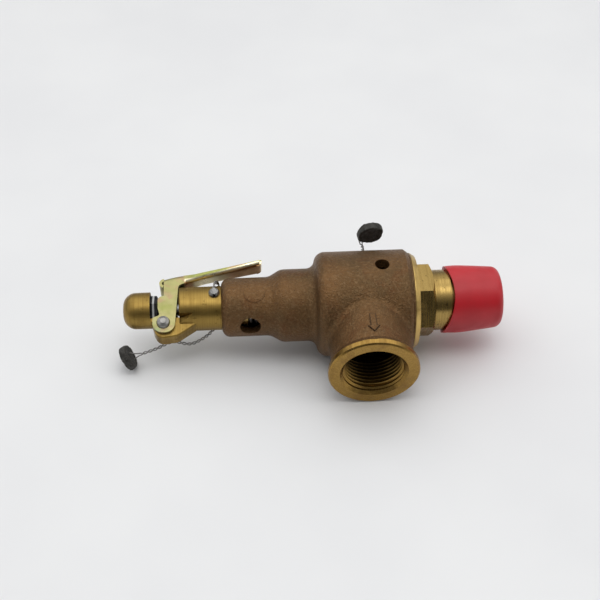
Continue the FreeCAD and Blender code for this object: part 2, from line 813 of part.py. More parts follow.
def revolve_upright(body, name, points):
    """Turn a polygon of (radius, height) about the body's own Z axis."""
    sketch = new_sketch(body, name + "_sketch", "XZ_Plane")
    draw_polygon(sketch, points)
    doc.recompute()
    feature = body.newObject("PartDesign::Revolution", name)
    feature.Profile = sketch
    feature.ReferenceAxis = (sketch, ["V_Axis"])
    feature.Angle = 360
    solid_of(feature)
    return feature


# ---------------------------------------------------------------- disc, spindle and spring


def make_disc_group():
    disc = new_body("disc")
    near = "seat_x - disc_face_gap"
    revolve(disc, "disc_form", [
        (near, "0"), (near, "disc_radius"), ("disc_far_x", "disc_radius"), ("disc_far_x", "0"),
    ])
    keep("disc", disc)

    holder = new_body("holder_form")
    revolve(holder, "holder_outside", [
        ("holder_near_x", "0"), ("holder_near_x", "holder_flange_radius"),
        ("holder_flange_x", "holder_flange_radius"), ("holder_flange_x", "holder_neck_radius"),
        ("holder_skirt_x", "holder_neck_radius"), ("holder_skirt_x", "holder_skirt_radius"),
        ("holder_far_x", "holder_skirt_radius"), ("holder_far_x", "0"),
    ])
    revolve(holder, "holder_hollow", [
        ("holder_far_x - 1", "0"), ("holder_far_x - 1", "holder_pocket_radius"),
        ("holder_pocket_x", "holder_pocket_radius"), ("holder_pocket_x", "spindle_radius + spindle_fit"),
        ("holder_bore_end_x", "spindle_radius + spindle_fit"), ("holder_bore_end_x", "0"),
    ], kind="Groove")
    revolve(holder, "disc_recess", [
        ("holder_near_x + 1", "0"), ("holder_near_x + 1", "disc_radius + disc_face_gap"),
        ("disc_far_x - disc_face_gap", "disc_radius + disc_face_gap"), ("disc_far_x - disc_face_gap", "0"),
    ], kind="Groove")
    pin_hole = radial_cylinder("pin_hole", "pin_x", "0", "pin_radius", "-holder_flange_radius",
                               "holder_flange_radius")
    keep("disc_holder", boolean("Cut", "disc_holder", holder, [pin_hole]))
    pin = radial_cylinder("disc_pin", "pin_x", "0", "pin_radius", "-pin_length / 2", "pin_length / 2")
    keep("disc_pin", pin)

    rod = new_body("spindle_form")
    revolve(rod, "spindle_rod", [
        ("spindle_near_x", "0"), ("spindle_near_x", "spindle_radius - spindle_tip"),
        ("spindle_near_x - spindle_tip", "spindle_radius"), ("spindle_collar_near_x", "spindle_radius"),
        ("spindle_collar_near_x", "spindle_collar_radius"), ("spindle_collar_x", "spindle_collar_radius"),
        ("spindle_collar_x", "spindle_radius"), ("spindle_far_x + spindle_tip / 2", "spindle_radius"),
        ("spindle_far_x", "spindle_radius - spindle_tip / 2"), ("spindle_far_x", "0"),
    ])
    rod_pin_hole = radial_cylinder("rod_pin_hole", "pin_x", "0", "pin_radius", "-holder_flange_radius",
                                   "holder_flange_radius")
    keep("spindle", boolean("Cut", "spindle", rod, [rod_pin_hole]))


def make_spring_step(name, seat, towards_spring):
    """A flanged washer with a boss that centres the spring; the flange stands beside seat."""
    flange = f"({seat}) + ({towards_spring}) * step_thickness"
    boss = f"({flange}) + ({towards_spring}) * step_boss_height"
    body = new_body(name)
    revolve(body, name + "_form", [
        (seat, "spindle_radius + spindle_fit"), (seat, "step_radius"), (flange, "step_radius"),
        (flange, "step_boss_radius"), (boss, "step_boss_radius - spindle_tip / 2"),
        (boss, "spindle_radius + spindle_fit"),
    ])
    keep(name, body)


def make_spring():
    """Round wire on a helix between the two steps' flanges."""
    near = "spindle_collar_x - step_thickness - spring_wire_radius - spring_end_gap"
    far = "spring_far_x + spring_wire_radius + spring_end_gap"
    helix = doc.addObject("Part::Helix", "spring_helix")
    bind(helix, Height=f"{near} - ({far})", Pitch=f"({near} - ({far})) / spring_coils",
         Radius="spring_mean_radius")
    section = doc.addObject("Part::Circle", "spring_section")
    section.Placement.Rotation = FreeCAD.Rotation(FreeCAD.Vector(1, 0, 0), 90)
    bind(section, Radius="spring_wire_radius", Placement__Base__x="spring_mean_radius")
    doc.recompute()
    spring = doc.addObject("Part::Sweep", "spring")
    spring.Sections = [section]
    spring.Spine = (helix, [f"Edge{i + 1}" for i in range(len(helix.Shape.Edges))])
    spring.Solid = True
    spring.Frenet = True
    spring.Placement.Rotation = FreeCAD.Rotation(FreeCAD.Vector(0, 1, 0), 90)
    bind(spring, Placement__Base__x=far)
    solid_of(spring)
    keep("spring", spring)


def make_nut(name, near, thickness, across, bore, angle="0", bevelled=True):
    """A hexagon nut round the spindle, its near face at a station."""
    body = new_body(name, angle)
    sketch = new_sketch(body, name + "_hexagon", "YZ_Plane")
    hexagon(sketch, "0", across)
    draw_circle(sketch, "0", "0", bore)
    sketch.AttachmentOffset = FreeCAD.Placement(FreeCAD.Vector(0, 0, 1), FreeCAD.Rotation())
    bind(sketch, AttachmentOffset__Base__z=f"({near}) - ({thickness})")
    doc.recompute()
    block = body.newObject("PartDesign::Pad", name + "_block")
    block.Profile = sketch
    bind(block, Length=thickness)
    solid_of(block)
    if bevelled:
        for side, station, inwards in (("near", near, "-1"), ("far", f"({near}) - ({thickness})", "1")):
            revolve(body, f"{name}_bevel_{side}", [
                (f"{station} - ({inwards})", f"({across}) / 2 - 0.2 * nut_bevel"),
                (station, f"({across}) / 2 - 0.2 * nut_bevel"),
                (f"{station} + ({inwards}) * nut_bevel", f"({across}) / 2 + 2 * nut_bevel"),
                (f"{station} - ({inwards})", f"({across}) / 2 + 2 * nut_bevel"),
            ], kind="Groove")
    keep(name, body)


def make_compression_screw():
    body = new_body("compression_screw")
    near = "spring_far_x - step_thickness"
    revolve(body, "compression_screw_rod", [
        (near, "spindle_radius + spindle_fit"), (near, "load_screw_radius"),
        ("load_screw_far_x", "load_screw_radius"), ("load_screw_far_x", "spindle_radius + spindle_fit"),
    ])

    def key_flats(sketch):
        half = "load_screw_square / 2"
        reach = "load_screw_radius + 1"
        for sign in ("", "-"):
            draw_polygon(sketch, [
                ("load_screw_square_x", f"{sign}({half})"), ("load_screw_square_x", f"{sign}({reach})"),
                ("load_screw_far_x - 1", f"{sign}({reach})"), ("load_screw_far_x - 1", f"{sign}({half})"),
            ])

    pad(body, "compression_screw_flats", "XY_Plane", key_flats, "0", kind="Pocket", through=True)
    keep("compression_screw", body)




# ---------------------------------------------------------------- cap


def make_cap():
    """The cap, in the lever's plane: its own +Z points at the side where the lever's handle lies."""
    form = new_body("cap_form")
    revolve(form, "cap_outside", [
        ("bonnet_x", "0"), ("bonnet_x", "cap_sleeve_radius"), ("cap_step_x", "cap_sleeve_radius"),
        ("cap_step_x", "cap_dome_radius"), ("cap_top_x", "cap_dome_radius"), ("cap_top_x", "0"),
    ])
    ease_edges(form, "cap_top_fillet", circle_at("cap_top_x", "cap_dome_radius"), "cap_top_round")
    ease_edges(form, "cap_step_fillet", circle_at("cap_step_x", "cap_sleeve_radius"), "cap_step_round")

    def beside_lug(sketch):
        for sign in ("", "-"):
            draw_polygon(sketch, [
                ("cap_dome_near_x", f"{sign}(lug_half)"), ("cap_step_x", f"{sign}(lug_half)"),
                ("ramp_x", f"{sign}(ramp_half)"), ("ramp_x", f"{sign}(2 * cap_sleeve_radius)"),
                ("cap_dome_near_x", f"{sign}(2 * cap_sleeve_radius)"),
            ])

    cut_sides = new_body("cap_sides")
    sketch = new_sketch(cut_sides, "cap_sides_sketch", "XY_Plane")
    sketch.AttachmentOffset = FreeCAD.Placement(FreeCAD.Vector(0, 0, -1), FreeCAD.Rotation())
    bind(sketch, AttachmentOffset__Base__z="cap_slot_floor")
    beside_lug(sketch)
    doc.recompute()
    sides = cut_sides.newObject("PartDesign::Pad", "cap_sides_pad")
    sides.Profile = sketch
    sides.Reversed = True
    bind(sides, Length="2 * cap_sleeve_radius")
    solid_of(sides)

    slot = new_body("cap_slot")
    points = [
        ("cap_dome_near_x", "cap_slot_floor"), ("cap_step_x", "cap_slot_floor"),
        ("cap_step_x", "2 * cap_sleeve_radius"), ("cap_dome_near_x", "2 * cap_sleeve_radius"),
    ]
    pad(slot, "cap_slot_pad", "XZ_Plane", lambda s: draw_polygon(s, points), "4 * cap_sleeve_radius")
    turned = boolean("Cut", "cap_turned", form, [cut_sides, slot])

    lug = new_body("cap_lug")
    points = [
        ("cap_dome_near_x - cap_step_round", "cap_slot_floor"), ("lug_heel_x", "lug_heel"),
        ("lug_left_x", "lug_bottom"), ("lug_right_x", "lug_toe"), ("gusset_x", "gusset_top"),
        ("gusset_x", "cap_slot_floor"),
    ]
    pad(lug, "cap_lug_pad", "XZ_Plane", lambda s: draw_polygon(s, points), "2 * lug_half")
    for name, x, z in (
        ("lug_fillet_left", "lug_left_x", "lug_bottom"),
        ("lug_fillet_right", "lug_right_x", "lug_toe"),
    ):
        ease_edges(lug, name, edge_through(x, z, (0, 1, 0)), "lug_round")

    def lug_outline(edge):
        middle = edge.CenterOfMass
        below = middle.z < value("cap_slot_floor") - 1
        return below and middle.x < value("gusset_x") - 1 and abs(abs(middle.y) - value("lug_half")) < 1e-3

    ease_edges(lug, "lug_edges", lug_outline, "lug_edge_round")
    whole = boolean("Fuse", "cap_with_lug", turned, [lug])

    inside = new_body("cap_hollow")
    revolve(inside, "cap_hollow_form", [
        ("bonnet_x + 1", "0"), ("bonnet_x + 1", "cap_sleeve_bore"), ("cap_sleeve_floor_x", "cap_sleeve_bore"),
        ("cap_sleeve_floor_x", "cap_dome_bore"), ("cap_bore_end_x", "cap_dome_bore"), ("cap_bore_end_x", "0"),
    ])
    ease_edges(inside, "cap_hollow_fillet", circle_at("cap_bore_end_x", "cap_dome_bore"),
               "cap_top_round - cap_dome_radius + cap_dome_bore")
    rivet_hole = doc.addObject("Part::Cylinder", "cap_rivet_hole")
    rivet_hole.Placement.Rotation = FreeCAD.Rotation(FreeCAD.Vector(1, 0, 0), 90)
    bind(rivet_hole, Radius="rivet_radius", Height="4 * lug_half", Placement__Base__x="pivot_x",
         Placement__Base__y="2 * lug_half", Placement__Base__z="pivot_height")
    screw_hole = doc.addObject("Part::Cylinder", "cap_screw_hole")
    screw_hole.Placement.Rotation = FreeCAD.Rotation(FreeCAD.Vector(1, 0, 0), 1)
    bind(screw_hole, Radius="cap_shank_radius", Height="2 * cap_sleeve_radius",
         Placement__Base__x="cap_screw_x", Placement__Rotation__Angle="cap_screw_angle - lever_angle")
    cut = boolean("Cut", "cap_cut", whole, [inside, rivet_hole, screw_hole])
    keep("cap", in_lever_plane("cap", cut))


def in_lever_plane(name, shape):
    """A copy of a finished piece, turned about the valve's axis into the lever's plane."""
    turned = doc.addObject("Part::Compound", name)
    turned.Links = [shape]
    turn_about_axis(turned, "lever_angle")
    solid_of(turned)
    return turned


def make_cap_screw():
    """A slotted screw with a hole through its head; it holds the cap by the spigot's groove."""
    body = new_body("cap_screw")
    revolve_upright(body, "cap_screw_form", [
        ("0", "cap_shank_reach"), ("cap_shank_radius", "cap_shank_reach"),
        ("cap_shank_radius", "cap_sleeve_radius"), ("cap_head_radius", "cap_sleeve_radius"),
        ("cap_head_radius", "cap_sleeve_radius + cap_head_height - cap_head_round"),
        ("cap_head_radius - 0.4 * cap_head_round",
         "cap_sleeve_radius + cap_head_height - 0.4 * cap_head_round"),
        ("cap_head_radius - cap_head_round", "cap_sleeve_radius + cap_head_height"),
        ("0", "cap_sleeve_radius + cap_head_height"),
    ])
    top = "cap_sleeve_radius + cap_head_height"
    slot_points = [
        ("-cap_slot_width / 2", f"{top} - cap_slot_depth"), ("cap_slot_width / 2", f"{top} - cap_slot_depth"),
        ("cap_slot_width / 2", f"{top} + 1"), ("-cap_slot_width / 2", f"{top} + 1"),
    ]
    pad(body, "cap_screw_slot", "XZ_Plane", lambda s: draw_polygon(s, slot_points), "4 * cap_head_radius",
        kind="Pocket")
    pad(body, "cap_screw_wire_hole", "XZ_Plane",
        lambda s: draw_circle(s, "0", "cap_sleeve_radius + cap_wire_hole_height", "wire_hole_radius"),
        "4 * cap_head_radius", kind="Pocket")
    radial(body, "cap_screw_x", "cap_screw_angle")
    keep("cap_screw", body)


# ---------------------------------------------------------------- lever


def curl(name, x, height, outer, sheet, width, start_angle, sweep):
    """A strip of sheet bent round an axis across the lever, from start_angle, measured from +X."""
    pieces = []
    for layer, radius in (("outer", outer), ("inner", f"{outer} - {sheet}")):
        rod = doc.addObject("Part::Cylinder", f"{name}_{layer}")
        rod.Placement.Rotation = FreeCAD.Rotation(FreeCAD.Vector(1, 0, 0), 90)
        extra = "0" if layer == "outer" else "1"
        bind(rod, Radius=radius, Height=f"2 * ({width}) + 2 * {extra}", Placement__Base__x=x,
             Placement__Base__y=f"{width} + {extra}", Placement__Base__z=height)
        if layer == "outer":
            turn = FreeCAD.Rotation(FreeCAD.Vector(0, 0, 1), start_angle)
            rod.Placement.Rotation = rod.Placement.Rotation.multiply(turn)
            bind(rod, Angle=sweep)
        pieces.append(rod)
    return boolean("Cut", name, pieces[0], [pieces[1]])


def channel_section(station, half, top, edge, web_above):
    """The folded sheet's outline across the lever, with round bends outside and inside."""
    sheet = value("sheet")
    bend = value("bend_radius")
    inner_bend = bend - sheet
    lean = math.sqrt(0.5)

    def arc(y, z, radius, sign):
        points = [(y, z + radius), (y + sign * radius * lean, z + radius * lean), (y + sign * radius, z)]
        return points if sign < 0 else points[::-1]

    def point(pair):
        return FreeCAD.Vector(station, pair[0], pair[1] if web_above else top + edge - pair[1])

    outer_right = arc(half - bend, top - bend, bend, 1)
    outer_left = arc(bend - half, top - bend, bend, -1)
    inner_left = arc(sheet + inner_bend - half, top - bend, inner_bend, -1)[::-1]
    inner_right = arc(half - sheet - inner_bend, top - bend, inner_bend, 1)[::-1]
    corners = [(half, edge), outer_right, outer_left, (-half, edge), (sheet - half, edge), inner_left,
               inner_right, (half - sheet, edge)]
    edges = []
    last = None
    for item in corners + corners[:1]:
        start = item[0] if isinstance(item, list) else item
        if last is not None:
            edges.append(Part.LineSegment(point(last), point(start)).toShape())
        last = start
        if isinstance(item, list):
            edges.append(Part.Arc(*[point(pair) for pair in item]).toShape())
            last = item[-1]
    return Part.Wire(edges)


def make_lever():
    """A folded sheet: a channel for the handle, and two arms that straddle the cap's lug."""
    channels = []
    for name, rows, web_above in (("root", ROOT_CHANNEL, True), ("handle", HANDLE_CHANNEL, False)):
        channel = doc.addObject("Part::Feature", name + "_channel")
        channel.Shape = Part.makeLoft([channel_section(*row, web_above) for row in rows], True, True)
        solid_of(channel)
        channels.append(channel)

    arms = new_body("arms")
    outline = [
        ("arm_left_x", "arm_root_top"), ("arm_left_x", "cam_top + 0.4"), ("cam_x", "cam_top"),
        ("cam_x", "cam_low"), ("cam_heel_x", "cam_heel"), ("pivot_x - arm_end_radius", "cam_heel - 1.1"),
        ("pivot_x - arm_end_radius", "pivot_height - arm_end_radius"),
        ("pivot_x + arm_end_radius", "pivot_height - arm_end_radius"),
        ("arm_right_x", "arm_right_height"), ("arm_throat_x", "arm_throat_height"),
        ("arm_throat_x", "arm_root_top"),
    ]
    pad(arms, "arms_pad", "XZ_Plane", lambda s: draw_polygon(s, outline), "2 * arm_half")
    rounds = (
        ("cam_fillet_top", "cam_x", "cam_top", "cam_round"),
        ("cam_fillet_low", "cam_x", "cam_low", "cam_round"),
        ("heel_fillet", "cam_heel_x", "cam_heel", "0.5 * cam_round"),
        ("arm_shoulder", "pivot_x - arm_end_radius", "cam_heel - 1.1", "0.5 * cam_round"),
        ("arm_end_left", "pivot_x - arm_end_radius", "pivot_height - arm_end_radius",
         "0.97 * arm_end_radius"),
        ("arm_end_right", "pivot_x + arm_end_radius", "pivot_height - arm_end_radius",
         "0.9 * arm_end_radius"),
        ("arm_crotch", "arm_right_x", "arm_right_height", "0.5 * cam_round"),
    )
    for name, x, z, radius in rounds:
        ease_edges(arms, name, edge_through(x, z, (0, 1, 0)), radius)
    gap = [
        ("cam_x - 10", "arm_root_top + 5"), ("cam_x - 10", "pivot_height - 10"),
        ("arm_throat_x + 10", "pivot_height - 10"), ("arm_throat_x + 10", "arm_root_top + 5"),
    ]
    pad(arms, "between_arms", "XZ_Plane", lambda s: draw_polygon(s, gap), "2 * (arm_half - sheet)",
        kind="Pocket")
    start_curl = curl("start_curl", "arm_left_x + 0.2", "curl_top - curl_radius", "curl_radius", "curl_sheet",
                      "curl_half", value("curl_start"), "curl_turn")
    tip_curl = curl("tip_curl", "tip_x", "tip_floor + tip_radius", "tip_radius", "curl_sheet", "tip_half",
                    value("tip_start"), "tip_turn")
    folded = boolean("Fuse", "folded_sheet", channels[0], [channels[1], arms, start_curl, tip_curl])
    hole = doc.addObject("Part::Cylinder", "lever_hole")
    hole.Placement.Rotation = FreeCAD.Rotation(FreeCAD.Vector(1, 0, 0), 90)
    bind(hole, Radius="rivet_radius + rivet_fit", Height="4 * arm_half", Placement__Base__x="pivot_x",
         Placement__Base__y="2 * arm_half", Placement__Base__z="pivot_height")
    keep("lever", in_lever_plane("lever", boolean("Cut", "lever_cut", folded, [hole])))


def make_lever_rivet():
    body = new_body("rivet_form")
    inner = "arm_half + rivet_head_gap"
    outer = "arm_half + rivet_head_gap + rivet_head_height"
    points = [("0", f"-({outer})"), ("rivet_head_radius - rivet_head_round", f"-({outer})"),
              ("rivet_head_radius - 0.25 * rivet_head_round", f"-({outer} - 0.4 * rivet_head_round)"),
              ("rivet_head_radius", f"-({outer} - rivet_head_round)"), ("rivet_head_radius", f"-({inner})"),
              ("rivet_radius", f"-({inner})")]
    mirrored = [(x, f"0 - ({z})") for x, z in points[::-1]]
    revolve_upright(body, "rivet_turned", points + mirrored)
    body.Placement.Rotation = FreeCAD.Rotation(FreeCAD.Vector(1, 0, 0), 90)
    bind(body, Placement__Base__x="pivot_x", Placement__Base__z="pivot_height")
    keep("lever_rivet", in_lever_plane("lever_rivet", body))


# ---------------------------------------------------------------- seal wires and lead seals


def rounded_path(name, route):
    """Straight runs joined by arcs that are as large as the runs allow; the radii are printed."""
    points = [FreeCAD.Vector(*place) for place in route]
    edges = []
    radii = []
    start = points[0]
    for before, corner, after in zip(points, points[1:], points[2:]):
        inward = (before - corner).normalize()
        outward = (after - corner).normalize()
        half_turn = (math.pi - inward.getAngle(outward)) / 2
        shorter = min(before.distanceToPoint(corner), after.distanceToPoint(corner))
        setback = 0.45 * shorter
        radius = setback / math.tan(half_turn)
        centre = corner + (inward + outward).normalize() * (radius / math.cos(half_turn))
        middle = centre + (corner - centre).normalize() * radius
        first = corner + inward * setback
        second = corner + outward * setback
        edges.append(Part.LineSegment(start, first).toShape())
        edges.append(Part.Arc(first, middle, second).toShape())
        radii.append(round(radius, 1))
        start = second
    edges.append(Part.LineSegment(start, points[-1]).toShape())
    print(f"{name}: bend radii {radii}")
    return Part.Wire(edges)


def make_wire(name, route):
    radius = value("wire_radius")
    path = rounded_path(name, route)
    first = FreeCAD.Vector(*route[0])
    along = FreeCAD.Vector(*route[1]) - first
    section = Part.Wire(Part.makeCircle(radius, first, along))
    wire = doc.addObject("Part::Feature", name)
    wire.Shape = path.makePipeShell([section], True, False)
    expected = math.pi * radius ** 2 * path.Length
    print(f"{name}: {path.Length:.1f} mm long, volume {solid_of(wire).Volume:.2f} of {expected:.2f} mm3")
    keep(name, wire)


def make_seal(name, place, facing, route):
    """A lead disc crimped on the wire's end, which lies in a blind hole in it."""
    body = new_body(name + "_form")
    half = "seal_thickness / 2"
    revolve_upright(body, name + "_disc", [
        ("0", f"-({half})"), ("seal_radius - seal_round", f"-({half})"),
        ("seal_radius", f"-({half}) + 0.8 * seal_round"), ("seal_radius", f"{half} - 0.8 * seal_round"),
        ("seal_radius - seal_round", half), ("0", half),
    ])
    rotation = FreeCAD.Rotation(FreeCAD.Vector(0, 0, 1), FreeCAD.Vector(*facing))
    body.Placement = FreeCAD.Placement(FreeCAD.Vector(*place), rotation)
    end = FreeCAD.Vector(*route[-1])
    back = (FreeCAD.Vector(*route[-2]) - end).normalize()
    bore = doc.addObject("Part::Cylinder", name + "_bore")
    bore.Placement = FreeCAD.Placement(end, FreeCAD.Rotation(FreeCAD.Vector(0, 0, 1), back))
    bind(bore, Radius="seal_bore_radius", Height="3 * seal_bore_depth")
    keep(name, boolean("Cut", name, body, [bore]))


# ---------------------------------------------------------------- the whole valve

fill_sheet()
make_valve_body()
make_nozzle()
make_thread_protector()
make_blowdown_ring()
make_ring_screw()
make_disc_group()
make_spring_step("lower_spring_step", "spindle_collar_x", "-1")
make_spring()
make_spring_step("upper_spring_step", "spring_far_x - step_thickness", "1")
make_compression_screw()
make_nut("compression_lock_nut", "spigot_x", "lock_nut_thickness", "lock_nut_across", "load_screw_radius")
make_cap()
make_cap_screw()
make_lever()
make_lever_rivet()
make_nut("lift_nut", "lift_nut_x", "lift_nut_thickness", "lift_nut_across", "spindle_radius", "lever_angle")
make_nut("lift_lock_nut", "lift_nut_x - lift_nut_thickness", "lift_lock_thickness", "lift_nut_across",
         "spindle_radius", "lever_angle + 17")
make_wire("seal_wire_cap", CAP_WIRE)
make_wire("seal_wire_ring", RING_WIRE)
make_seal("lead_seal_cap", *CAP_SEAL, CAP_WIRE)
make_seal("lead_seal_ring", *RING_SEAL, RING_WIRE)

doc.recompute()
for obj in doc.Objects:
    if "Invalid" in obj.State or "Error" in obj.State:
        raise RuntimeError(f"{obj.Name} is in state {obj.State}")
for name, obj in SUB_PARTS.items():
    if obj.Shape.isNull() or not obj.Shape.isValid() or not obj.Shape.Solids:
        raise RuntimeError(f"{name} has no valid solid")
os.makedirs("parts", exist_ok=True)
for name, obj in SUB_PARTS.items():
    box = obj.Shape.BoundBox
    print(f"{name:22s} solids {len(obj.Shape.Solids)} volume {obj.Shape.Volume:9.1f} "
          f"X {box.XMin:7.1f} {box.XMax:7.1f} Y {box.YMin:6.1f} {box.YMax:6.1f} "
          f"Z {box.ZMin:6.1f} {box.ZMax:6.1f}")
    obj.Shape.exportStep(f"parts/{name}.step")
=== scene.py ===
"""Looks of a pressure relief valve that lies on a pale floor.

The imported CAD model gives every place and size. Row frame, in metres: the origin is the centre of
the inlet end, +X leaves the inlet along the valve's axis, -Y leaves the outlet, and +Z is up.
"""

import math

import bpy
from mathutils import Matrix, Vector, noise


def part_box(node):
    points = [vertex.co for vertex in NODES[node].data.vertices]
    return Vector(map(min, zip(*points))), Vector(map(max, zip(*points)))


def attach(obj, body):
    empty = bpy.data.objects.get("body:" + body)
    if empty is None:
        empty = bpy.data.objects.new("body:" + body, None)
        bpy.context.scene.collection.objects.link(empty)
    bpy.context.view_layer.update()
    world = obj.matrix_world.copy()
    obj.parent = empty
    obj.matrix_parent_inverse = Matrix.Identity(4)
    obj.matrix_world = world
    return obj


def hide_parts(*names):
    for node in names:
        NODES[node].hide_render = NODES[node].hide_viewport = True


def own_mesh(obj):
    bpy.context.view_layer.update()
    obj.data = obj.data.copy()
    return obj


MM = 0.001
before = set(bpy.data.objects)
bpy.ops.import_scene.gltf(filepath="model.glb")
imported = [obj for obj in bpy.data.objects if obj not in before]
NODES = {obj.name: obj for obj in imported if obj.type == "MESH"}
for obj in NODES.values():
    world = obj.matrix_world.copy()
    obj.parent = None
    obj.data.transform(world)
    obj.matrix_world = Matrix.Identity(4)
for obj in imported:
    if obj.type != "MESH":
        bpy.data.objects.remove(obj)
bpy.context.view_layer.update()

# ---------------------------------------------------------------- camera

CAMERA_PLACE = Vector((-109.0, -341.8, 381.1)) * MM
CAMERA_YAW = math.radians(-3.94)
CAMERA_DROP = math.radians(47.80)
CAMERA_ROLL = math.radians(0.76)
# The lens and the sensor's width are in millimetres, the clipping distances in metres.
CAMERA_LENS = 69.6
CAMERA_SENSOR = 36.0
CAMERA_CLIP = (0.01, 20.0)


def add_object(name, data):
    made = bpy.data.objects.new(name, data)
    bpy.context.scene.collection.objects.link(made)
    return made


def make_camera():
    data = bpy.data.cameras.new("camera")
    data.lens = CAMERA_LENS
    data.sensor_width = CAMERA_SENSOR
    data.clip_start, data.clip_end = CAMERA_CLIP
    camera = add_object("camera", data)
    turn = Matrix.Rotation(CAMERA_YAW, 4, "Z") @ Matrix.Rotation(math.pi / 2 - CAMERA_DROP, 4, "X")
    camera.matrix_world = Matrix.Translation(CAMERA_PLACE) @ turn @ Matrix.Rotation(CAMERA_ROLL, 4, "Z")
    bpy.context.scene.camera = camera


# ---------------------------------------------------------------- meshes


def mesh_piece(name, points, faces):
    mesh = bpy.data.meshes.new(name)
    mesh.from_pydata([tuple(p) for p in points], [], faces)
    mesh.validate()
    mesh.shade_smooth()
    return add_object(name, mesh)


def finish_piece(piece, body, material, replaces=()):
    piece.data.materials.clear()
    piece.data.materials.append(material)
    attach(piece, body)
    if replaces:
        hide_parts(*replaces)
    return piece


def ring_faces(rings, count):
    """Quads between successive rings of `count` points, with a face over each end."""
    faces = []
    for i in range(rings - 1):
        for j in range(count):
            a, b = i * count + j, i * count + (j + 1) % count
            faces.append((a, b, b + count, a + count))
    faces.append(tuple(reversed(range(count))))
    faces.append(tuple((rings - 1) * count + j for j in range(count)))
    return faces


def directions_along(line):
    last = len(line) - 1
    return [(line[min(i + 1, last)] - line[max(i - 1, 0)]).normalized() for i in range(last + 1)]


def axes_at(directions):
    """A side direction for each direction along a line, turned as little as possible."""
    side = directions[0].orthogonal().normalized()
    sides = []
    for d in directions:
        side = (side - d * side.dot(d)).normalized()
        sides.append(side)
    return sides


def tube_points(line, radius, count):
    """Rings of points round a line of points."""
    directions = directions_along(line)
    points = []
    for centre, along, side in zip(line, directions, axes_at(directions)):
        other = along.cross(side)
        for j in range(count):
            a = 2 * math.pi * j / count
            points.append(centre + radius * (math.cos(a) * side + math.sin(a) * other))
    return points


# ---------------------------------------------------------------- seal wires

STRAND_RADIUS = 0.27 * MM
STRAND_OFFSET = 0.46 * MM
TWIST_PITCH = 4.6 * MM
STRAND_SIDES = 8
LOOP_LENGTH = 5.5 * MM
LOOP_SWELL = 1.5
# The twist strays from even: by how much, in what angle (radians) per unit, and over what length.
WANDER = 0.6
WANDER_ANGLE = 0.3
WANDER_LENGTH = 7 * MM

CAP_WIRE = [
    (-122.9, 1.6, 10.5),
    (-122.8, 4.6, 10.3),
    (-122.0, 8.3, 8.3),
    (-121.3, 10.9, 4.2),
    (-121.2, 11.6, -0.8),
    (-121.0, 10.3, -5.8),
    (-121.0, 6.7, -9.9),
    (-122.2, 1.7, -12.0),
    (-125.2, -3.4, -12.6),
    (-129.8, -7.8, -12.2),
    (-134.4, -10.3, -12.0),
    (-138.2, -10.0, -11.0),
    (-141.6, -8.6, -11.2),
    (-145.2, -9.4, -11.9),
    (-148.8, -11.6, -12.2),
    (-152.8, -13.0, -12.4),
    (-157.3, -13.5, -13.8),
    (-161.5, -13.2, -15.7),
]
RING_WIRE = [
    (-52.0, 26.6, -3.4),
    (-52.0, 26.8, -7.4),
    (-53.0, 27.4, -12.0),
    (-56.2, 28.2, -15.8),
    (-61.0, 29.0, -17.2),
    (-65.6, 29.8, -15.4),
    (-68.2, 30.4, -11.4),
    (-67.4, 30.8, -6.8),
    (-63.8, 31.0, -4.0),
    (-59.6, 31.2, -4.1),
    (-56.0, 31.2, -2.1),
    (-54.4, 30.8, 2.0),
    (-56.2, 29.6, 7.6),
    (-56.2, 28.4, 12.0),
]
CAP_SEAL_FACING = Vector((0.91, 0.18, 0.43)).normalized()
RING_SEAL_FACING = Vector((0.17, -0.97, -0.16)).normalized()


def smooth_line(name, route):
    """Points along the smooth NURBS curve that the route's points steer."""
    curve = bpy.data.curves.new(name + "_line", "CURVE")
    curve.dimensions = "3D"
    curve.resolution_u = 16
    spline = curve.splines.new("NURBS")
    spline.points.add(len(route) - 1)
    for point, place in zip(spline.points, route):
        point.co = (*(Vector(place) * MM), 1)
    spline.order_u = 3
    spline.use_endpoint_u = True
    holder = bpy.data.objects.new(name + "_line", curve)
    mesh = bpy.data.meshes.new_from_object(holder)
    line = [v.co.copy() for v in mesh.vertices]
    bpy.data.objects.remove(holder)
    bpy.data.curves.remove(curve)
    bpy.data.meshes.remove(mesh)
    return line


def lengths_along(line):
    total = [0.0]
    for a, b in zip(line, line[1:]):
        total.append(total[-1] + (b - a).length)
    return total


def strand(line, phase, spread_start, spread_end):
    """One of two strands twisted about a line; at the ends they part into a loop."""
    along = lengths_along(line)
    length = along[-1]
    directions = directions_along(line)
    places = []
    for centre, ahead, side, reach in zip(line, directions, axes_at(directions), along):
        start = max(0.0, 1 - reach / LOOP_LENGTH)
        end = max(0.0, 1 - (length - reach) / LOOP_LENGTH)
        wide = STRAND_OFFSET + spread_start * start ** LOOP_SWELL + spread_end * end ** LOOP_SWELL
        slow = min(1.0, reach / LOOP_LENGTH) * 0.5 + 0.5
        wander = WANDER * noise.noise(Vector((reach / WANDER_LENGTH, phase, 0.0)))
        twisted = min(max(reach, LOOP_LENGTH), length - LOOP_LENGTH)
        angle = phase + wander * WANDER_ANGLE + 2 * math.pi * twisted * slow / TWIST_PITCH
        places.append(centre + wide * (math.cos(angle) * side + math.sin(angle) * ahead.cross(side)))
    return tube_points(places, STRAND_RADIUS, STRAND_SIDES)


def make_wire(name, route, spread_start, spread_end, material):
    line = smooth_line(name, route)
    points = []
    faces = []
    for k in range(2):
        rings = strand(line, k * math.pi, spread_start, spread_end)
        faces += [tuple(i + len(points) for i in face) for face in ring_faces(len(line), STRAND_SIDES)]
        points += rings
    wire = mesh_piece(name + "_twisted", points, faces)
    finish_piece(wire, "valve", material, [name])
    return wire, line


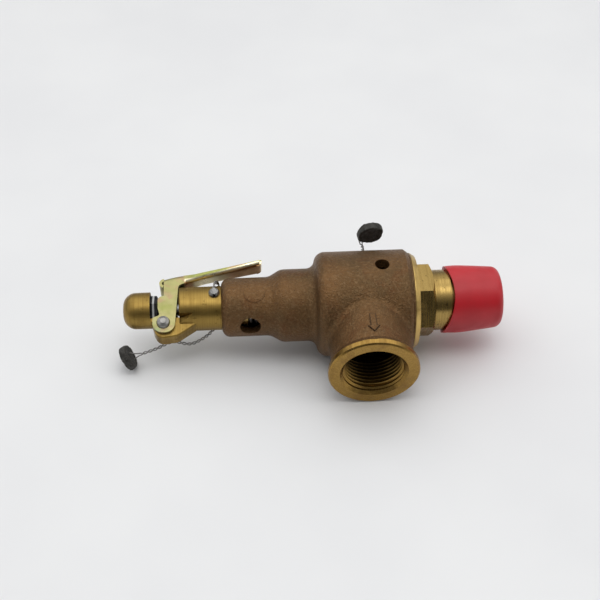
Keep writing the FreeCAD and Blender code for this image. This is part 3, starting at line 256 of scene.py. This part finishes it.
SEAL_RADIUS = 5.8 * MM
SEAL_HALF = 1.7 * MM
SEAL_EDGE_STEPS = 14
SEAL_SIDES = 72
# The pliers' mark: its share of the radius and its depth.
PRESSED_SHARE = 0.68
PRESSED_DEPTH = 0.22 * MM
# Dents, broad and fine: their size in metres and their depth in millimetres.
BROAD_DENT = (3.1 * MM, 0.42)
FINE_DENT = (0.9 * MM, 0.16)
SEAL_OVAL = 0.035
FACE_SHARES = (0.12, 0.3, 0.46, 0.6, 0.66, 0.72, 0.8)


def make_lead_seal(node, facing, material, seed):
    """A lead disc, pressed flat by the sealing pliers, with a rolled edge and small dents."""
    low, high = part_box(node)
    centre = (low + high) / 2
    radius, half = SEAL_RADIUS, SEAL_HALF
    rings = []
    for i in range(SEAL_EDGE_STEPS + 1):
        a = math.pi * i / SEAL_EDGE_STEPS
        x = math.copysign(abs(math.cos(a)) ** 0.55, math.cos(a))
        rings.append((radius * (0.86 + 0.14 * math.sin(a) ** 0.8), half * x))
    profile = [(radius * share, half) for share in FACE_SHARES] + rings
    profile += [(radius * share, -half) for share in reversed(FACE_SHARES)]
    side = facing.orthogonal().normalized()
    other = facing.cross(side)
    points = []
    for r, h in profile:
        for j in range(SEAL_SIDES):
            a = 2 * math.pi * j / SEAL_SIDES
            press = 0.0
            if r < PRESSED_SHARE * radius:
                press = PRESSED_DEPTH * (1 if h > 0 else -1)
            place = Vector((r * math.cos(a), r * math.sin(a), h - press))
            wobble = noise.noise(place / BROAD_DENT[0] + Vector((seed, 0, 0))) * BROAD_DENT[1] * MM
            fine = noise.noise(place / FINE_DENT[0] + Vector((0, seed, 0))) * FINE_DENT[1] * MM
            squeeze = 1 + SEAL_OVAL * math.cos(2 * a + seed)
            place.x += (wobble + fine) * math.cos(a) * r / radius
            place.y += (wobble + fine) * math.sin(a) * r / radius
            place.z += (wobble * 0.5 + fine) * (h / half)
            points.append(centre + squeeze * place.x * side + place.y / squeeze * other + place.z * facing)
    faces = ring_faces(len(profile), SEAL_SIDES)
    seal = mesh_piece(node + "_crimped", points, faces)
    return finish_piece(seal, "valve", material, [node])


# ---------------------------------------------------------------- materials


class Shader:
    """A Principled material and short ways to add nodes to it. Places are in the row frame."""

    def __init__(self, name, colour, roughness, metallic=0.0):
        self.material = bpy.data.materials.new(name)
        self.material.use_nodes = True
        self.tree = self.material.node_tree
        self.shader = next(n for n in self.tree.nodes if n.type == "BSDF_PRINCIPLED")
        self.set("Base Color", (*colour, 1))
        self.set("Roughness", roughness)
        self.set("Metallic", metallic)
        self.place = self.tree.nodes.new("ShaderNodeTexCoord").outputs["Object"]

    def set(self, socket, value):
        self.shader.inputs[socket].default_value = value

    def link(self, output, socket):
        self.tree.links.new(output, self.shader.inputs[socket])

    def node(self, kind, inputs=(), **settings):
        made = self.tree.nodes.new("ShaderNode" + kind)
        for key, value in settings.items():
            setattr(made, key, value)
        for key, value in dict(inputs).items():
            if isinstance(value, bpy.types.NodeSocket):
                self.tree.links.new(value, made.inputs[key])
            else:
                made.inputs[key].default_value = value
        return made

    def stretched(self, scale):
        """Places with each axis scaled, in units of a metre."""
        return self.node("Mapping", {"Vector": self.place, "Scale": scale}).outputs["Vector"]

    def noise(self, scale, detail=3.0, roughness=0.55, stretch=None, distortion=0.0):
        vector = self.stretched(stretch) if stretch else self.place
        made = self.node("TexNoise", {"Vector": vector, "Scale": scale, "Detail": detail,
                                      "Roughness": roughness, "Distortion": distortion})
        return made.outputs["Fac"]

    def spread(self, factor, low, high, to_low=0.0, to_high=1.0, smooth=True):
        kind = "SMOOTHSTEP" if smooth else "LINEAR"
        return self.node("MapRange", {"Value": factor, "From Min": low, "From Max": high, "To Min": to_low,
                                      "To Max": to_high}, interpolation_type=kind).outputs["Result"]

    def maths(self, operation, a, b=0.0):
        return self.node("Math", {0: a, 1: b}, operation=operation).outputs[0]

    def mix(self, factor, a, b):
        """Mix two colours; each is a socket or three numbers."""
        values = {"Factor": factor}
        for key, value in (("A", a), ("B", b)):
            values[key] = value if isinstance(value, bpy.types.NodeSocket) else (*value, 1)
        made = self.tree.nodes.new("ShaderNodeMix")
        made.data_type = "RGBA"
        for socket in made.inputs:
            is_factor = socket.name == "Factor" and socket.type == "VALUE"
            if socket.name in values and (socket.type == "RGBA" or is_factor):
                value = values[socket.name]
                if isinstance(value, bpy.types.NodeSocket):
                    self.tree.links.new(value, socket)
                else:
                    socket.default_value = value
        return next(s for s in made.outputs if s.type == "RGBA")

    def bump(self, height, distance, strength=1.0, after=None):
        inputs = {"Height": height, "Distance": distance, "Strength": strength}
        if after is not None:
            inputs["Normal"] = after
        return self.node("Bump", inputs).outputs["Normal"]

    def hollow_shade(self, distance):
        """One in corners and grooves, where painted shade goes, and nought on open skin."""
        made = self.node("AmbientOcclusion", {"Distance": distance}, samples=8, only_local=True)
        return self.spread(made.outputs["AO"], 0.35, 0.85, 1.0, 0.0)

    def axis(self, name):
        return self.node("SeparateXYZ", {"Vector": self.place}).outputs[name]


# The raised arrow as in the CAD, in millimetres; its slope number turns the slant into a distance.
SHAFT_HALF = 1.25
SHAFT_MIDDLE = 25.95
SHAFT_HALF_LENGTH = 3.65
HEAD_START = 28.8
HEAD_LENGTH = 3.2
HEAD_HALF = 2.4
HEAD_SLOPE = 1.92


def arrow_foot_shade(s, across, y):
    """One along the foot of the raised arrow, where shade is painted."""
    side = s.maths("ABSOLUTE", across)
    from_middle = s.maths("ABSOLUTE", s.maths("ADD", y, SHAFT_MIDDLE * MM))
    shaft = s.maths("MAXIMUM", s.maths("SUBTRACT", side, SHAFT_HALF * MM),
                    s.maths("SUBTRACT", from_middle, SHAFT_HALF_LENGTH * MM))
    slant = s.maths("ADD", s.maths("MULTIPLY", side, 1 / HEAD_HALF),
                    s.maths("MULTIPLY", y, -1 / HEAD_LENGTH))
    slant = s.maths("SUBTRACT", slant, (HEAD_START / HEAD_LENGTH + 1) * MM)
    slant = s.maths("MULTIPLY", slant, HEAD_SLOPE)
    head = s.maths("MAXIMUM", s.maths("ADD", y, HEAD_START * MM), slant)
    away = s.maths("ABSOLUTE", s.maths("MINIMUM", shaft, head))
    return s.spread(away, 0.12 * MM, 0.38 * MM, 1.0, 0.0)


OUTLET_X = -56.5 * MM
OUTLET_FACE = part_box("valve_body")[0].y
# Where the body is machined, each as the start and end of a soft edge: depth of the outlet's rim,
# radius and depth of its mouth, the depths over which the mouth darkens (partly dark oxide, partly painted
# shade), and the turned land at the inlet.
RIM_EDGE = (2.4 * MM, 3.0 * MM)
MOUTH_RADIUS = (14.6 * MM, 14.9 * MM)
MOUTH_END = (-16.0 * MM, -14.0 * MM)
MOUTH_SHADE_DEPTHS = (-39.0 * MM, -26.0 * MM)
LAND_EDGE = (-37.2 * MM, -36.7 * MM)
# Colour of the painted highlight on the turned land.
LAND_HIGHLIGHT_COLOUR = (0.64, 0.44, 0.15)
ARROW_HEIGHT = (10 * MM, 11 * MM)
RIM_WEAR = 0.35 * MM
# Colour of the painted shade in the casting's corners and grooves and along the arrow's foot.
CAST_SHADE_COLOUR = (0.03, 0.018, 0.01)


def cast_bronze():
    """Sand-cast bronze with a machined outlet rim, mouth and threads, and a turned inlet land."""
    s = Shader("cast_bronze", (0.15, 0.09, 0.04), 0.45, 0.8)
    patches = s.noise(45, 4, 0.6)
    stains = s.noise(95, 3, 0.6)
    grains = s.noise(950, 5, 0.62)
    pits = s.noise(2400, 2, 0.5)
    cast = s.mix(s.spread(patches, 0.35, 0.65), (0.165, 0.083, 0.030), (0.122, 0.07, 0.028))
    cast = s.mix(s.spread(stains, 0.5, 0.72, 0.0, 0.7), cast, (0.135, 0.055, 0.018))
    cast = s.mix(s.spread(grains, 0.45, 0.72, 0.0, 0.6), cast, (0.25, 0.155, 0.075))
    cast = s.mix(s.spread(pits, 0.3, 0.42, 0.7, 0.0), cast, (0.04, 0.025, 0.014))
    # Painted shade in the casting's corners and grooves.
    cast = s.mix(s.maths("MULTIPLY", s.hollow_shade(1.1 * MM), 0.85), cast, CAST_SHADE_COLOUR)
    x, y, z = (s.axis(k) for k in "XYZ")
    across = s.maths("SUBTRACT", x, OUTLET_X)
    # Painted shade along the foot of the raised arrow.
    arrow_shade = s.maths("MULTIPLY", arrow_foot_shade(s, across, y), s.spread(z, *ARROW_HEIGHT, 0.0, 0.6))
    cast = s.mix(arrow_shade, cast, CAST_SHADE_COLOUR)
    squares = s.maths("ADD", s.maths("MULTIPLY", across, across), s.maths("MULTIPLY", z, z))
    from_outlet = s.maths("SQRT", squares)
    worn = s.maths("ADD", y, s.spread(s.noise(150, 3), 0.3, 0.7, -RIM_WEAR, RIM_WEAR, smooth=False))
    face = s.spread(worn, OUTLET_FACE + RIM_EDGE[0], OUTLET_FACE + RIM_EDGE[1], 1.0, 0.0)
    mouth_shade_mask = s.spread(y, *MOUTH_SHADE_DEPTHS, 0.0, 0.88)
    inside = s.maths("MULTIPLY", s.spread(from_outlet, *MOUTH_RADIUS, 1.0, 0.0),
                     s.spread(y, *MOUTH_END, 1.0, 0.0))
    land = s.spread(x, *LAND_EDGE, 0.0, 0.95)
    machined = s.maths("MAXIMUM", s.maths("MAXIMUM", face, inside), land)
    lines = s.noise(1.0, 2, 0.5, stretch=(2600, 60, 2600))
    bright = s.mix(s.spread(lines, 0.35, 0.65), (0.40, 0.245, 0.066), (0.29, 0.17, 0.042))
    # A painted highlight on the turned land, over its turned brass.
    bright = s.mix(land, bright, LAND_HIGHLIGHT_COLOUR)
    bright = s.mix(s.spread(s.noise(160, 3), 0.45, 0.75, 0.0, 0.6), bright, (0.20, 0.11, 0.035))
    # Further into the mouth it goes nearly black: partly dark oxide, partly painted shade.
    bright = s.mix(s.maths("MULTIPLY", inside, mouth_shade_mask), bright, (0.02, 0.013, 0.006))
    s.link(s.mix(machined, cast, bright), "Base Color")
    polish = s.maths("MULTIPLY", machined, -0.12)
    s.link(s.maths("ADD", polish, s.spread(patches, 0.2, 0.8, 0.38, 0.5)), "Roughness")
    s.link(s.spread(machined, 0, 1, 0.8, 1.0), "Metallic")
    grainy = s.maths("ADD", s.maths("MULTIPLY", grains, 0.8), s.maths("MULTIPLY", pits, 0.4))
    rough = s.maths("MULTIPLY", grainy, s.spread(machined, 0, 1, 1.0, 0.06))
    swell = s.bump(patches, 1.6 * MM, 0.5)
    s.link(s.bump(rough, 0.62 * MM, 1.0, swell), "Normal")
    return s.material


LINE_LENGTH_SCALE = 35.0


def turned_brass(name, light, dark, roughness, line_scale=3200, spotting=0.5):
    """Brass with fine lathe lines round the X axis, small stains and dark spots."""
    s = Shader(name, light, roughness, 1.0)
    lines = s.noise(1.0, 2, 0.55, stretch=(line_scale, LINE_LENGTH_SCALE, LINE_LENGTH_SCALE))
    stains = s.noise(120, 4, 0.6)
    spots = s.noise(520, 3, 0.6)
    colour = s.mix(s.spread(lines, 0.35, 0.65, 0.0, 0.5), light, dark)
    colour = s.mix(s.spread(stains, 0.5, 0.75, 0.0, 0.6), colour, dark)
    colour = s.mix(s.spread(spots, 0.60, 0.72, 0.0, spotting), colour, tuple(0.35 * c for c in dark))
    # Painted shade in the brass's corners and grooves.
    colour = s.mix(s.maths("MULTIPLY", s.hollow_shade(0.9 * MM), 0.8), colour, tuple(0.18 * c for c in dark))
    s.link(colour, "Base Color")
    stained = s.spread(stains, 0.3, 0.8, roughness - 0.04, roughness + 0.12)
    s.link(s.maths("ADD", s.spread(lines, 0.3, 0.7, -0.05, 0.07), stained), "Roughness")
    wavy = s.bump(s.noise(45, 2), 0.5 * MM, 0.25)
    s.link(s.bump(lines, 0.03 * MM, 0.6, wavy), "Normal")
    return s.material


def red_plastic():
    s = Shader("red_plastic", (0.50, 0.018, 0.028), 0.42)
    cloud = s.noise(60, 3)
    s.link(s.mix(s.spread(cloud, 0.3, 0.75), (0.50, 0.010, 0.018), (0.40, 0.008, 0.014)), "Base Color")
    s.set("Subsurface Weight", 0.12)
    s.set("Subsurface Radius", (0.9, 0.22, 0.16))
    s.set("Subsurface Scale", 0.003)
    s.set("IOR", 1.49)
    s.link(s.spread(s.noise(240, 3), 0.3, 0.7, 0.38, 0.5), "Roughness")
    s.link(s.bump(s.noise(700, 3), 0.05 * MM, 0.35, s.bump(cloud, 0.6 * MM, 0.2)), "Normal")
    return s.material


# The lever's up direction, and the outer face of its handle's web: start, height there, and slope along X.
LEVER_UP = Vector((0, math.sin(math.radians(76)), math.cos(math.radians(76))))
WEB_START = -136.4 * MM
WEB_HEIGHT = 10.5 * MM
WEB_SLOPE = 0.25
# Heights above the web, each as the start and end of a soft edge: the web's brown band, partly chromate
# tint and partly painted reflection, and the painted highlight on the bend.
WEB_TOP = (0.25 * MM, 0.8 * MM)
BEND_HIGHLIGHT_START = (0.3 * MM, 0.8 * MM)
BEND_HIGHLIGHT_END = (1.5 * MM, 2.1 * MM)


def zinc_chromate():
    """Zinc-plated sheet with a yellow chromate film, which drifts between green, gold and pink."""
    s = Shader("zinc_yellow", (0.28, 0.28, 0.11), 0.42, 1.0)
    drift = s.noise(75, 2, 0.5, distortion=0.8)
    blush = s.noise(110, 2, 0.5, distortion=1.2)
    colour = s.mix(s.spread(drift, 0.35, 0.65), (0.27, 0.28, 0.085), (0.36, 0.33, 0.15))
    colour = s.mix(s.spread(blush, 0.52, 0.68, 0.0, 0.55), colour, (0.40, 0.23, 0.16))
    green = s.noise(95, 2, 0.5, distortion=0.5)
    colour = s.mix(s.spread(green, 0.56, 0.72, 0.0, 0.45), colour, (0.22, 0.31, 0.18))
    colour = s.mix(s.spread(s.noise(800, 3), 0.6, 0.75, 0.0, 0.4), colour, (0.2, 0.17, 0.1))
    x, y, z = (s.axis(k) for k in "XYZ")
    height = s.maths("ADD", s.maths("MULTIPLY", y, LEVER_UP.y), s.maths("MULTIPLY", z, LEVER_UP.z))
    web_height = s.maths("ADD", s.maths("MULTIPLY", x, WEB_SLOPE), WEB_HEIGHT - WEB_START * WEB_SLOPE)
    above_web = s.maths("SUBTRACT", height, web_height)
    on_handle = s.spread(x, WEB_START, WEB_START + 1.0 * MM)
    web = s.maths("MULTIPLY", s.spread(above_web, *WEB_TOP, 1.0, 0.0), on_handle)
    bend_highlight = s.maths("MULTIPLY", s.spread(above_web, *BEND_HIGHLIGHT_START),
                        s.spread(above_web, *BEND_HIGHLIGHT_END, 1.0, 0.0))
    bend_highlight = s.maths("MULTIPLY", bend_highlight, on_handle)
    # The web's face is brown: partly chromate tint, partly painted reflection of the brass cap.
    colour = s.mix(s.maths("MULTIPLY", web, 0.85), colour, (0.34, 0.17, 0.075))
    # A painted highlight along the handle's bend.
    colour = s.mix(s.maths("MULTIPLY", bend_highlight, 0.9), colour, (0.95, 0.86, 0.60))
    s.link(colour, "Base Color")
    rough = s.spread(s.noise(300, 3), 0.3, 0.7, 0.36, 0.5)
    s.link(s.maths("ADD", rough, s.maths("MULTIPLY", bend_highlight, -0.12)), "Roughness")
    s.link(s.bump(s.noise(1.0, 3, stretch=(350, 1500, 1500)), 0.04 * MM, 0.35), "Normal")
    return s.material


def plain_metal(name, colour, roughness, grain=900, depth=0.03, spots=0.3):
    s = Shader(name, colour, roughness, 1.0)
    worn = s.noise(grain * 0.3, 4, 0.6)
    dark = tuple(0.3 * c for c in colour)
    s.link(s.mix(s.spread(worn, 0.45, 0.75, 0.0, spots), colour, dark), "Base Color")
    s.link(s.spread(worn, 0.3, 0.7, roughness - 0.05, roughness + 0.12), "Roughness")
    s.link(s.bump(s.noise(grain, 3), depth * MM, 0.6), "Normal")
    return s.material


LIFT_NUT_HIGHLIGHT_X = -149.6 * MM


def blackened_steel(name, highlight_x=None):
    """Steel with a black oxide; a ring round the nut at x = highlight_x is a painted highlight."""
    s = Shader(name, (0.03, 0.03, 0.032), 0.35, 1.0)
    worn = s.noise(300, 4, 0.6)
    colour = s.mix(s.spread(worn, 0.4, 0.7), (0.022, 0.022, 0.024), (0.06, 0.058, 0.055))
    if highlight_x is not None:
        # A painted highlight on a ring round the nut.
        away = s.maths("ABSOLUTE", s.maths("SUBTRACT", s.axis("X"), highlight_x))
        colour = s.mix(s.spread(away, 0.3 * MM, 0.5 * MM, 1.0, 0.0), colour, (0.75, 0.75, 0.73))
    s.link(colour, "Base Color")
    s.link(s.spread(worn, 0.3, 0.7, 0.28, 0.42), "Roughness")
    return s.material


def lead():
    """Dull oxidised lead: paler where it was worn, nearly black in its pits."""
    s = Shader("lead", (0.05, 0.047, 0.042), 0.62, 0.5)
    cloud = s.noise(420, 4, 0.65)
    colour = s.mix(s.spread(cloud, 0.35, 0.65), (0.026, 0.024, 0.02), (0.07, 0.067, 0.06))
    colour = s.mix(s.spread(s.noise(1500, 3), 0.55, 0.72, 0.0, 0.6), colour, (0.14, 0.137, 0.128))
    s.link(colour, "Base Color")
    s.link(s.spread(cloud, 0.3, 0.7, 0.55, 0.75), "Roughness")
    s.link(s.bump(s.noise(1300, 4, 0.65), 0.25 * MM, 0.7), "Normal")
    return s.material


def paint(node, material):
    for slot in NODES[node].material_slots:
        slot.material = material


def make_materials():
    steel = plain_metal("steel", (0.34, 0.335, 0.325), 0.32)
    stainless = plain_metal("stainless", (0.38, 0.38, 0.38), 0.25)
    inner = turned_brass("inner_brass", (0.36, 0.25, 0.09), (0.22, 0.14, 0.045), 0.32)
    paint("valve_body", cast_bronze())
    paint("nozzle", turned_brass("nozzle_brass", (0.40, 0.27, 0.088), (0.25, 0.16, 0.05), 0.26, 2200, 0.6))
    paint("cap", turned_brass("cap_brass", (0.31, 0.205, 0.055), (0.215, 0.128, 0.032), 0.38, 3400, 0.55))
    paint("thread_protector", red_plastic())
    paint("lever", zinc_chromate())
    for node in ("ring_screw", "cap_screw", "disc_pin"):
        paint(node, steel)
    paint("lift_nut", blackened_steel("lift_nut", LIFT_NUT_HIGHLIGHT_X))
    paint("lift_lock_nut", blackened_steel("lift_lock_nut"))
    paint("lever_rivet", plain_metal("rivet_zinc", (0.30, 0.29, 0.275), 0.3, 700, 0.05, 0.6))
    for node in ("spindle", "disc", "disc_holder"):
        paint(node, stainless)
    for node in ("blowdown_ring", "lower_spring_step", "upper_spring_step", "compression_screw",
                 "compression_lock_nut"):
        paint(node, inner)


# ---------------------------------------------------------------- threads and spring


THREAD_PITCH = 25.4 / 14 * MM
THREAD_DEPTH = 1.15 * MM
SHARP_ANGLE = math.radians(35)
THREAD_STEPS_PER_TURN = 96
# The ridge's section: places along the axis in pitches, and shares of its depth.
THREAD_SECTION = ((-0.48, 0.0), (-0.10, 1.0), (0.10, 1.0), (0.48, 0.0))
# Turns over which the ridge rises at its start and sinks at its end.
THREAD_RISE = 0.35
THREAD_SINK = 0.8
OUTLET_WALL = 13.35 * MM
OUTLET_THREAD = (23.4 * MM, 38.6 * MM)
NOZZLE_THREAD = (1.6 * MM, 18.6 * MM)
# The taper thread's crest, in millimetres: its radius at the inlet's end, and at the span's far end.
NOZZLE_TIP_CREST = 12.62
NOZZLE_INNER_CREST = 13.28
NOZZLE_CREST_SPAN = 20.0


def make_thread(name, place, root, crest, start, end, material, slot):
    """A helical ridge. place(along, radius, angle) gives a point; root and crest are radii along it."""
    pitch, per_turn = THREAD_PITCH, THREAD_STEPS_PER_TURN
    turns = (end - start) / pitch
    steps = int(turns * per_turn)
    points = []
    for i in range(steps + 1):
        angle = 2 * math.pi * i / per_turn
        along = start + pitch * i / per_turn
        fade = min(1.0, i / (THREAD_RISE * per_turn), (steps - i) / (THREAD_SINK * per_turn))
        for shift, share in THREAD_SECTION:
            at = along + shift * pitch
            low, high = root(at), crest(at)
            points.append(place(at, low + (high - low) * share * fade, angle))
    faces = ring_faces(steps + 1, len(THREAD_SECTION))
    thread = mesh_piece(name, points, faces)
    thread.data.set_sharp_from_angle(angle=SHARP_ANGLE)
    return finish_piece(thread, "valve", material)


def make_threads():
    def in_outlet(along, radius, angle):
        return Vector((OUTLET_X + radius * math.cos(angle), -along, radius * math.sin(angle)))

    make_thread("outlet_thread", in_outlet, lambda at: OUTLET_WALL, lambda at: OUTLET_WALL - THREAD_DEPTH,
                *OUTLET_THREAD, NODES["valve_body"].material_slots[0].material, "cast_bronze")

    def on_nozzle(along, radius, angle):
        return Vector((-along, radius * math.cos(angle), -radius * math.sin(angle)))

    def nozzle_crest(at):
        return NOZZLE_TIP_CREST * MM + (NOZZLE_INNER_CREST - NOZZLE_TIP_CREST) * at / NOZZLE_CREST_SPAN

    make_thread("nozzle_thread", on_nozzle, lambda at: nozzle_crest(at) - THREAD_DEPTH, nozzle_crest,
                *NOZZLE_THREAD, NODES["nozzle"].material_slots[0].material, "nozzle_brass")


SPRING_WIRE_RADIUS = 1.1 * MM
SPRING_TURNS = 7.5
SPRING_STEPS_PER_TURN = 48
SPRING_SIDES = 12
# Turns of each closed end coil.
SPRING_END_TURNS = 0.75


def make_spring(material):
    """Round wire with closed end coils between the two steps."""
    low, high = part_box("spring")
    wire = SPRING_WIRE_RADIUS
    mean = (high.y - low.y) / 2 - wire
    start, end = low.x + wire, high.x - wire
    steps = int(SPRING_TURNS * SPRING_STEPS_PER_TURN)
    line = []
    for i in range(steps + 1):
        turn = i / SPRING_STEPS_PER_TURN
        share = (turn - SPRING_END_TURNS) / (SPRING_TURNS - 2 * SPRING_END_TURNS)
        share = min(1.0, max(0.0, share))
        x = start + (end - start) * share
        a = 2 * math.pi * turn
        line.append(Vector((x, mean * math.cos(a), mean * math.sin(a))))
    points = tube_points(line, wire, SPRING_SIDES)
    spring = mesh_piece("load_spring", points, ring_faces(len(line), SPRING_SIDES))
    finish_piece(spring, "spindle_group", material, ["spring"])
    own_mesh(spring)


# ---------------------------------------------------------------- floor and light

FLOOR_TILT = math.radians(-5.14)
FLOOR_HEIGHT = -23.09 * MM
FLOOR_HALF = 3.0


def make_floor():
    size = FLOOR_HALF
    corners = [(-size, -size, 0), (size, -size, 0), (size, size, 0), (-size, size, 0)]
    mesh = bpy.data.meshes.new("floor")
    mesh.from_pydata(corners, [], [(0, 1, 2, 3)])
    floor = add_object("floor", mesh)
    floor.matrix_world = Matrix.Translation((0, 0, FLOOR_HEIGHT)) @ Matrix.Rotation(FLOOR_TILT, 4, "X")
    s = Shader("floor", (0.80, 0.80, 0.80), 0.85)
    cloud = s.noise(9, 3)
    s.link(s.mix(s.spread(cloud, 0.3, 0.7), (0.80, 0.80, 0.80), (0.765, 0.765, 0.77)), "Base Color")
    mesh.materials.append(s.material)


# Soft lights on a dome 1 m from the middle of the valve: elevation and azimuth in degrees, watts.
DOME_LIGHTS = (
    (84, 270, 1.60),
    (60, 180, 0.70),
    (60, 0, 0.60),
    (60, 90, 0.50),
    (32, 135, 0.45),
    (32, 45, 0.55),
    (30, 190, 0.40),
    (30, 350, 0.40),
)
DOME_LIGHT_SIZE = 0.55
VALVE_MIDDLE = Vector((-0.075, 0.0, 0.0))
# The sky brightens towards these directions: elevation and azimuth in degrees, strength.
SKY = ((66, 90, 0.85), (32, 20, 0.42), (32, 160, 0.32))
SKY_BASE = 0.07
SKY_COLOUR = (0.98, 0.99, 1.0, 1)
# A higher power gathers each bright part of the sky closer to its direction.
SKY_POWER = 2.0


def direction(elevation, azimuth):
    e, a = math.radians(elevation), math.radians(azimuth)
    return Vector((math.cos(e) * math.cos(a), math.cos(e) * math.sin(a), math.sin(e)))


def make_light():
    for elevation, azimuth, power in DOME_LIGHTS:
        data = bpy.data.lights.new("dome", "AREA")
        data.shape = "DISK"
        data.size = DOME_LIGHT_SIZE
        data.energy = power
        light = add_object("dome", data)
        towards = direction(elevation, azimuth)
        light.location = VALVE_MIDDLE + towards
        light.rotation_euler = (-towards).to_track_quat("-Z", "Y").to_euler()
    world = bpy.data.worlds.new("studio")
    world.use_nodes = True
    tree = world.node_tree
    background = tree.nodes["Background"]
    background.inputs["Color"].default_value = SKY_COLOUR
    ray = tree.nodes.new("ShaderNodeTexCoord").outputs["Generated"]
    total = SKY_BASE
    for elevation, azimuth, strength in SKY:
        dot = tree.nodes.new("ShaderNodeVectorMath")
        dot.operation = "DOT_PRODUCT"
        tree.links.new(ray, dot.inputs[0])
        dot.inputs[1].default_value = direction(elevation, azimuth)
        steps = (("MAXIMUM", 0.0), ("POWER", SKY_POWER), ("MULTIPLY", strength), ("ADD", total))
        value = dot.outputs["Value"]
        for operation, other in steps:
            made = tree.nodes.new("ShaderNodeMath")
            made.operation = operation
            tree.links.new(value, made.inputs[0])
            if isinstance(other, bpy.types.NodeSocket):
                tree.links.new(other, made.inputs[1])
            else:
                made.inputs[1].default_value = other
            value = made.outputs[0]
        total = value
    tree.links.new(total, background.inputs["Strength"])
    bpy.context.scene.world = world
    bpy.context.scene.view_settings.view_transform = "Standard"


# ---------------------------------------------------------------- the scene

make_camera()
WIRE_STEEL = plain_metal("seal_wire", (0.30, 0.29, 0.28), 0.42, 2200, 0.02, 0.5)
LEAD = lead()
CAP_WIRE_PIECE, CAP_LINE = make_wire("seal_wire_cap", CAP_WIRE, 0.1 * MM, 1.7 * MM, WIRE_STEEL)
RING_WIRE_PIECE, RING_LINE = make_wire("seal_wire_ring", RING_WIRE, 0.1 * MM, 0.9 * MM, WIRE_STEEL)
CAP_SEAL = make_lead_seal("lead_seal_cap", CAP_SEAL_FACING, LEAD, 3.0)
RING_SEAL = make_lead_seal("lead_seal_ring", RING_SEAL_FACING, LEAD, 8.0)
make_materials()
make_threads()
make_spring(plain_metal("spring_steel", (0.20, 0.19, 0.18), 0.35))
make_floor()
make_light()
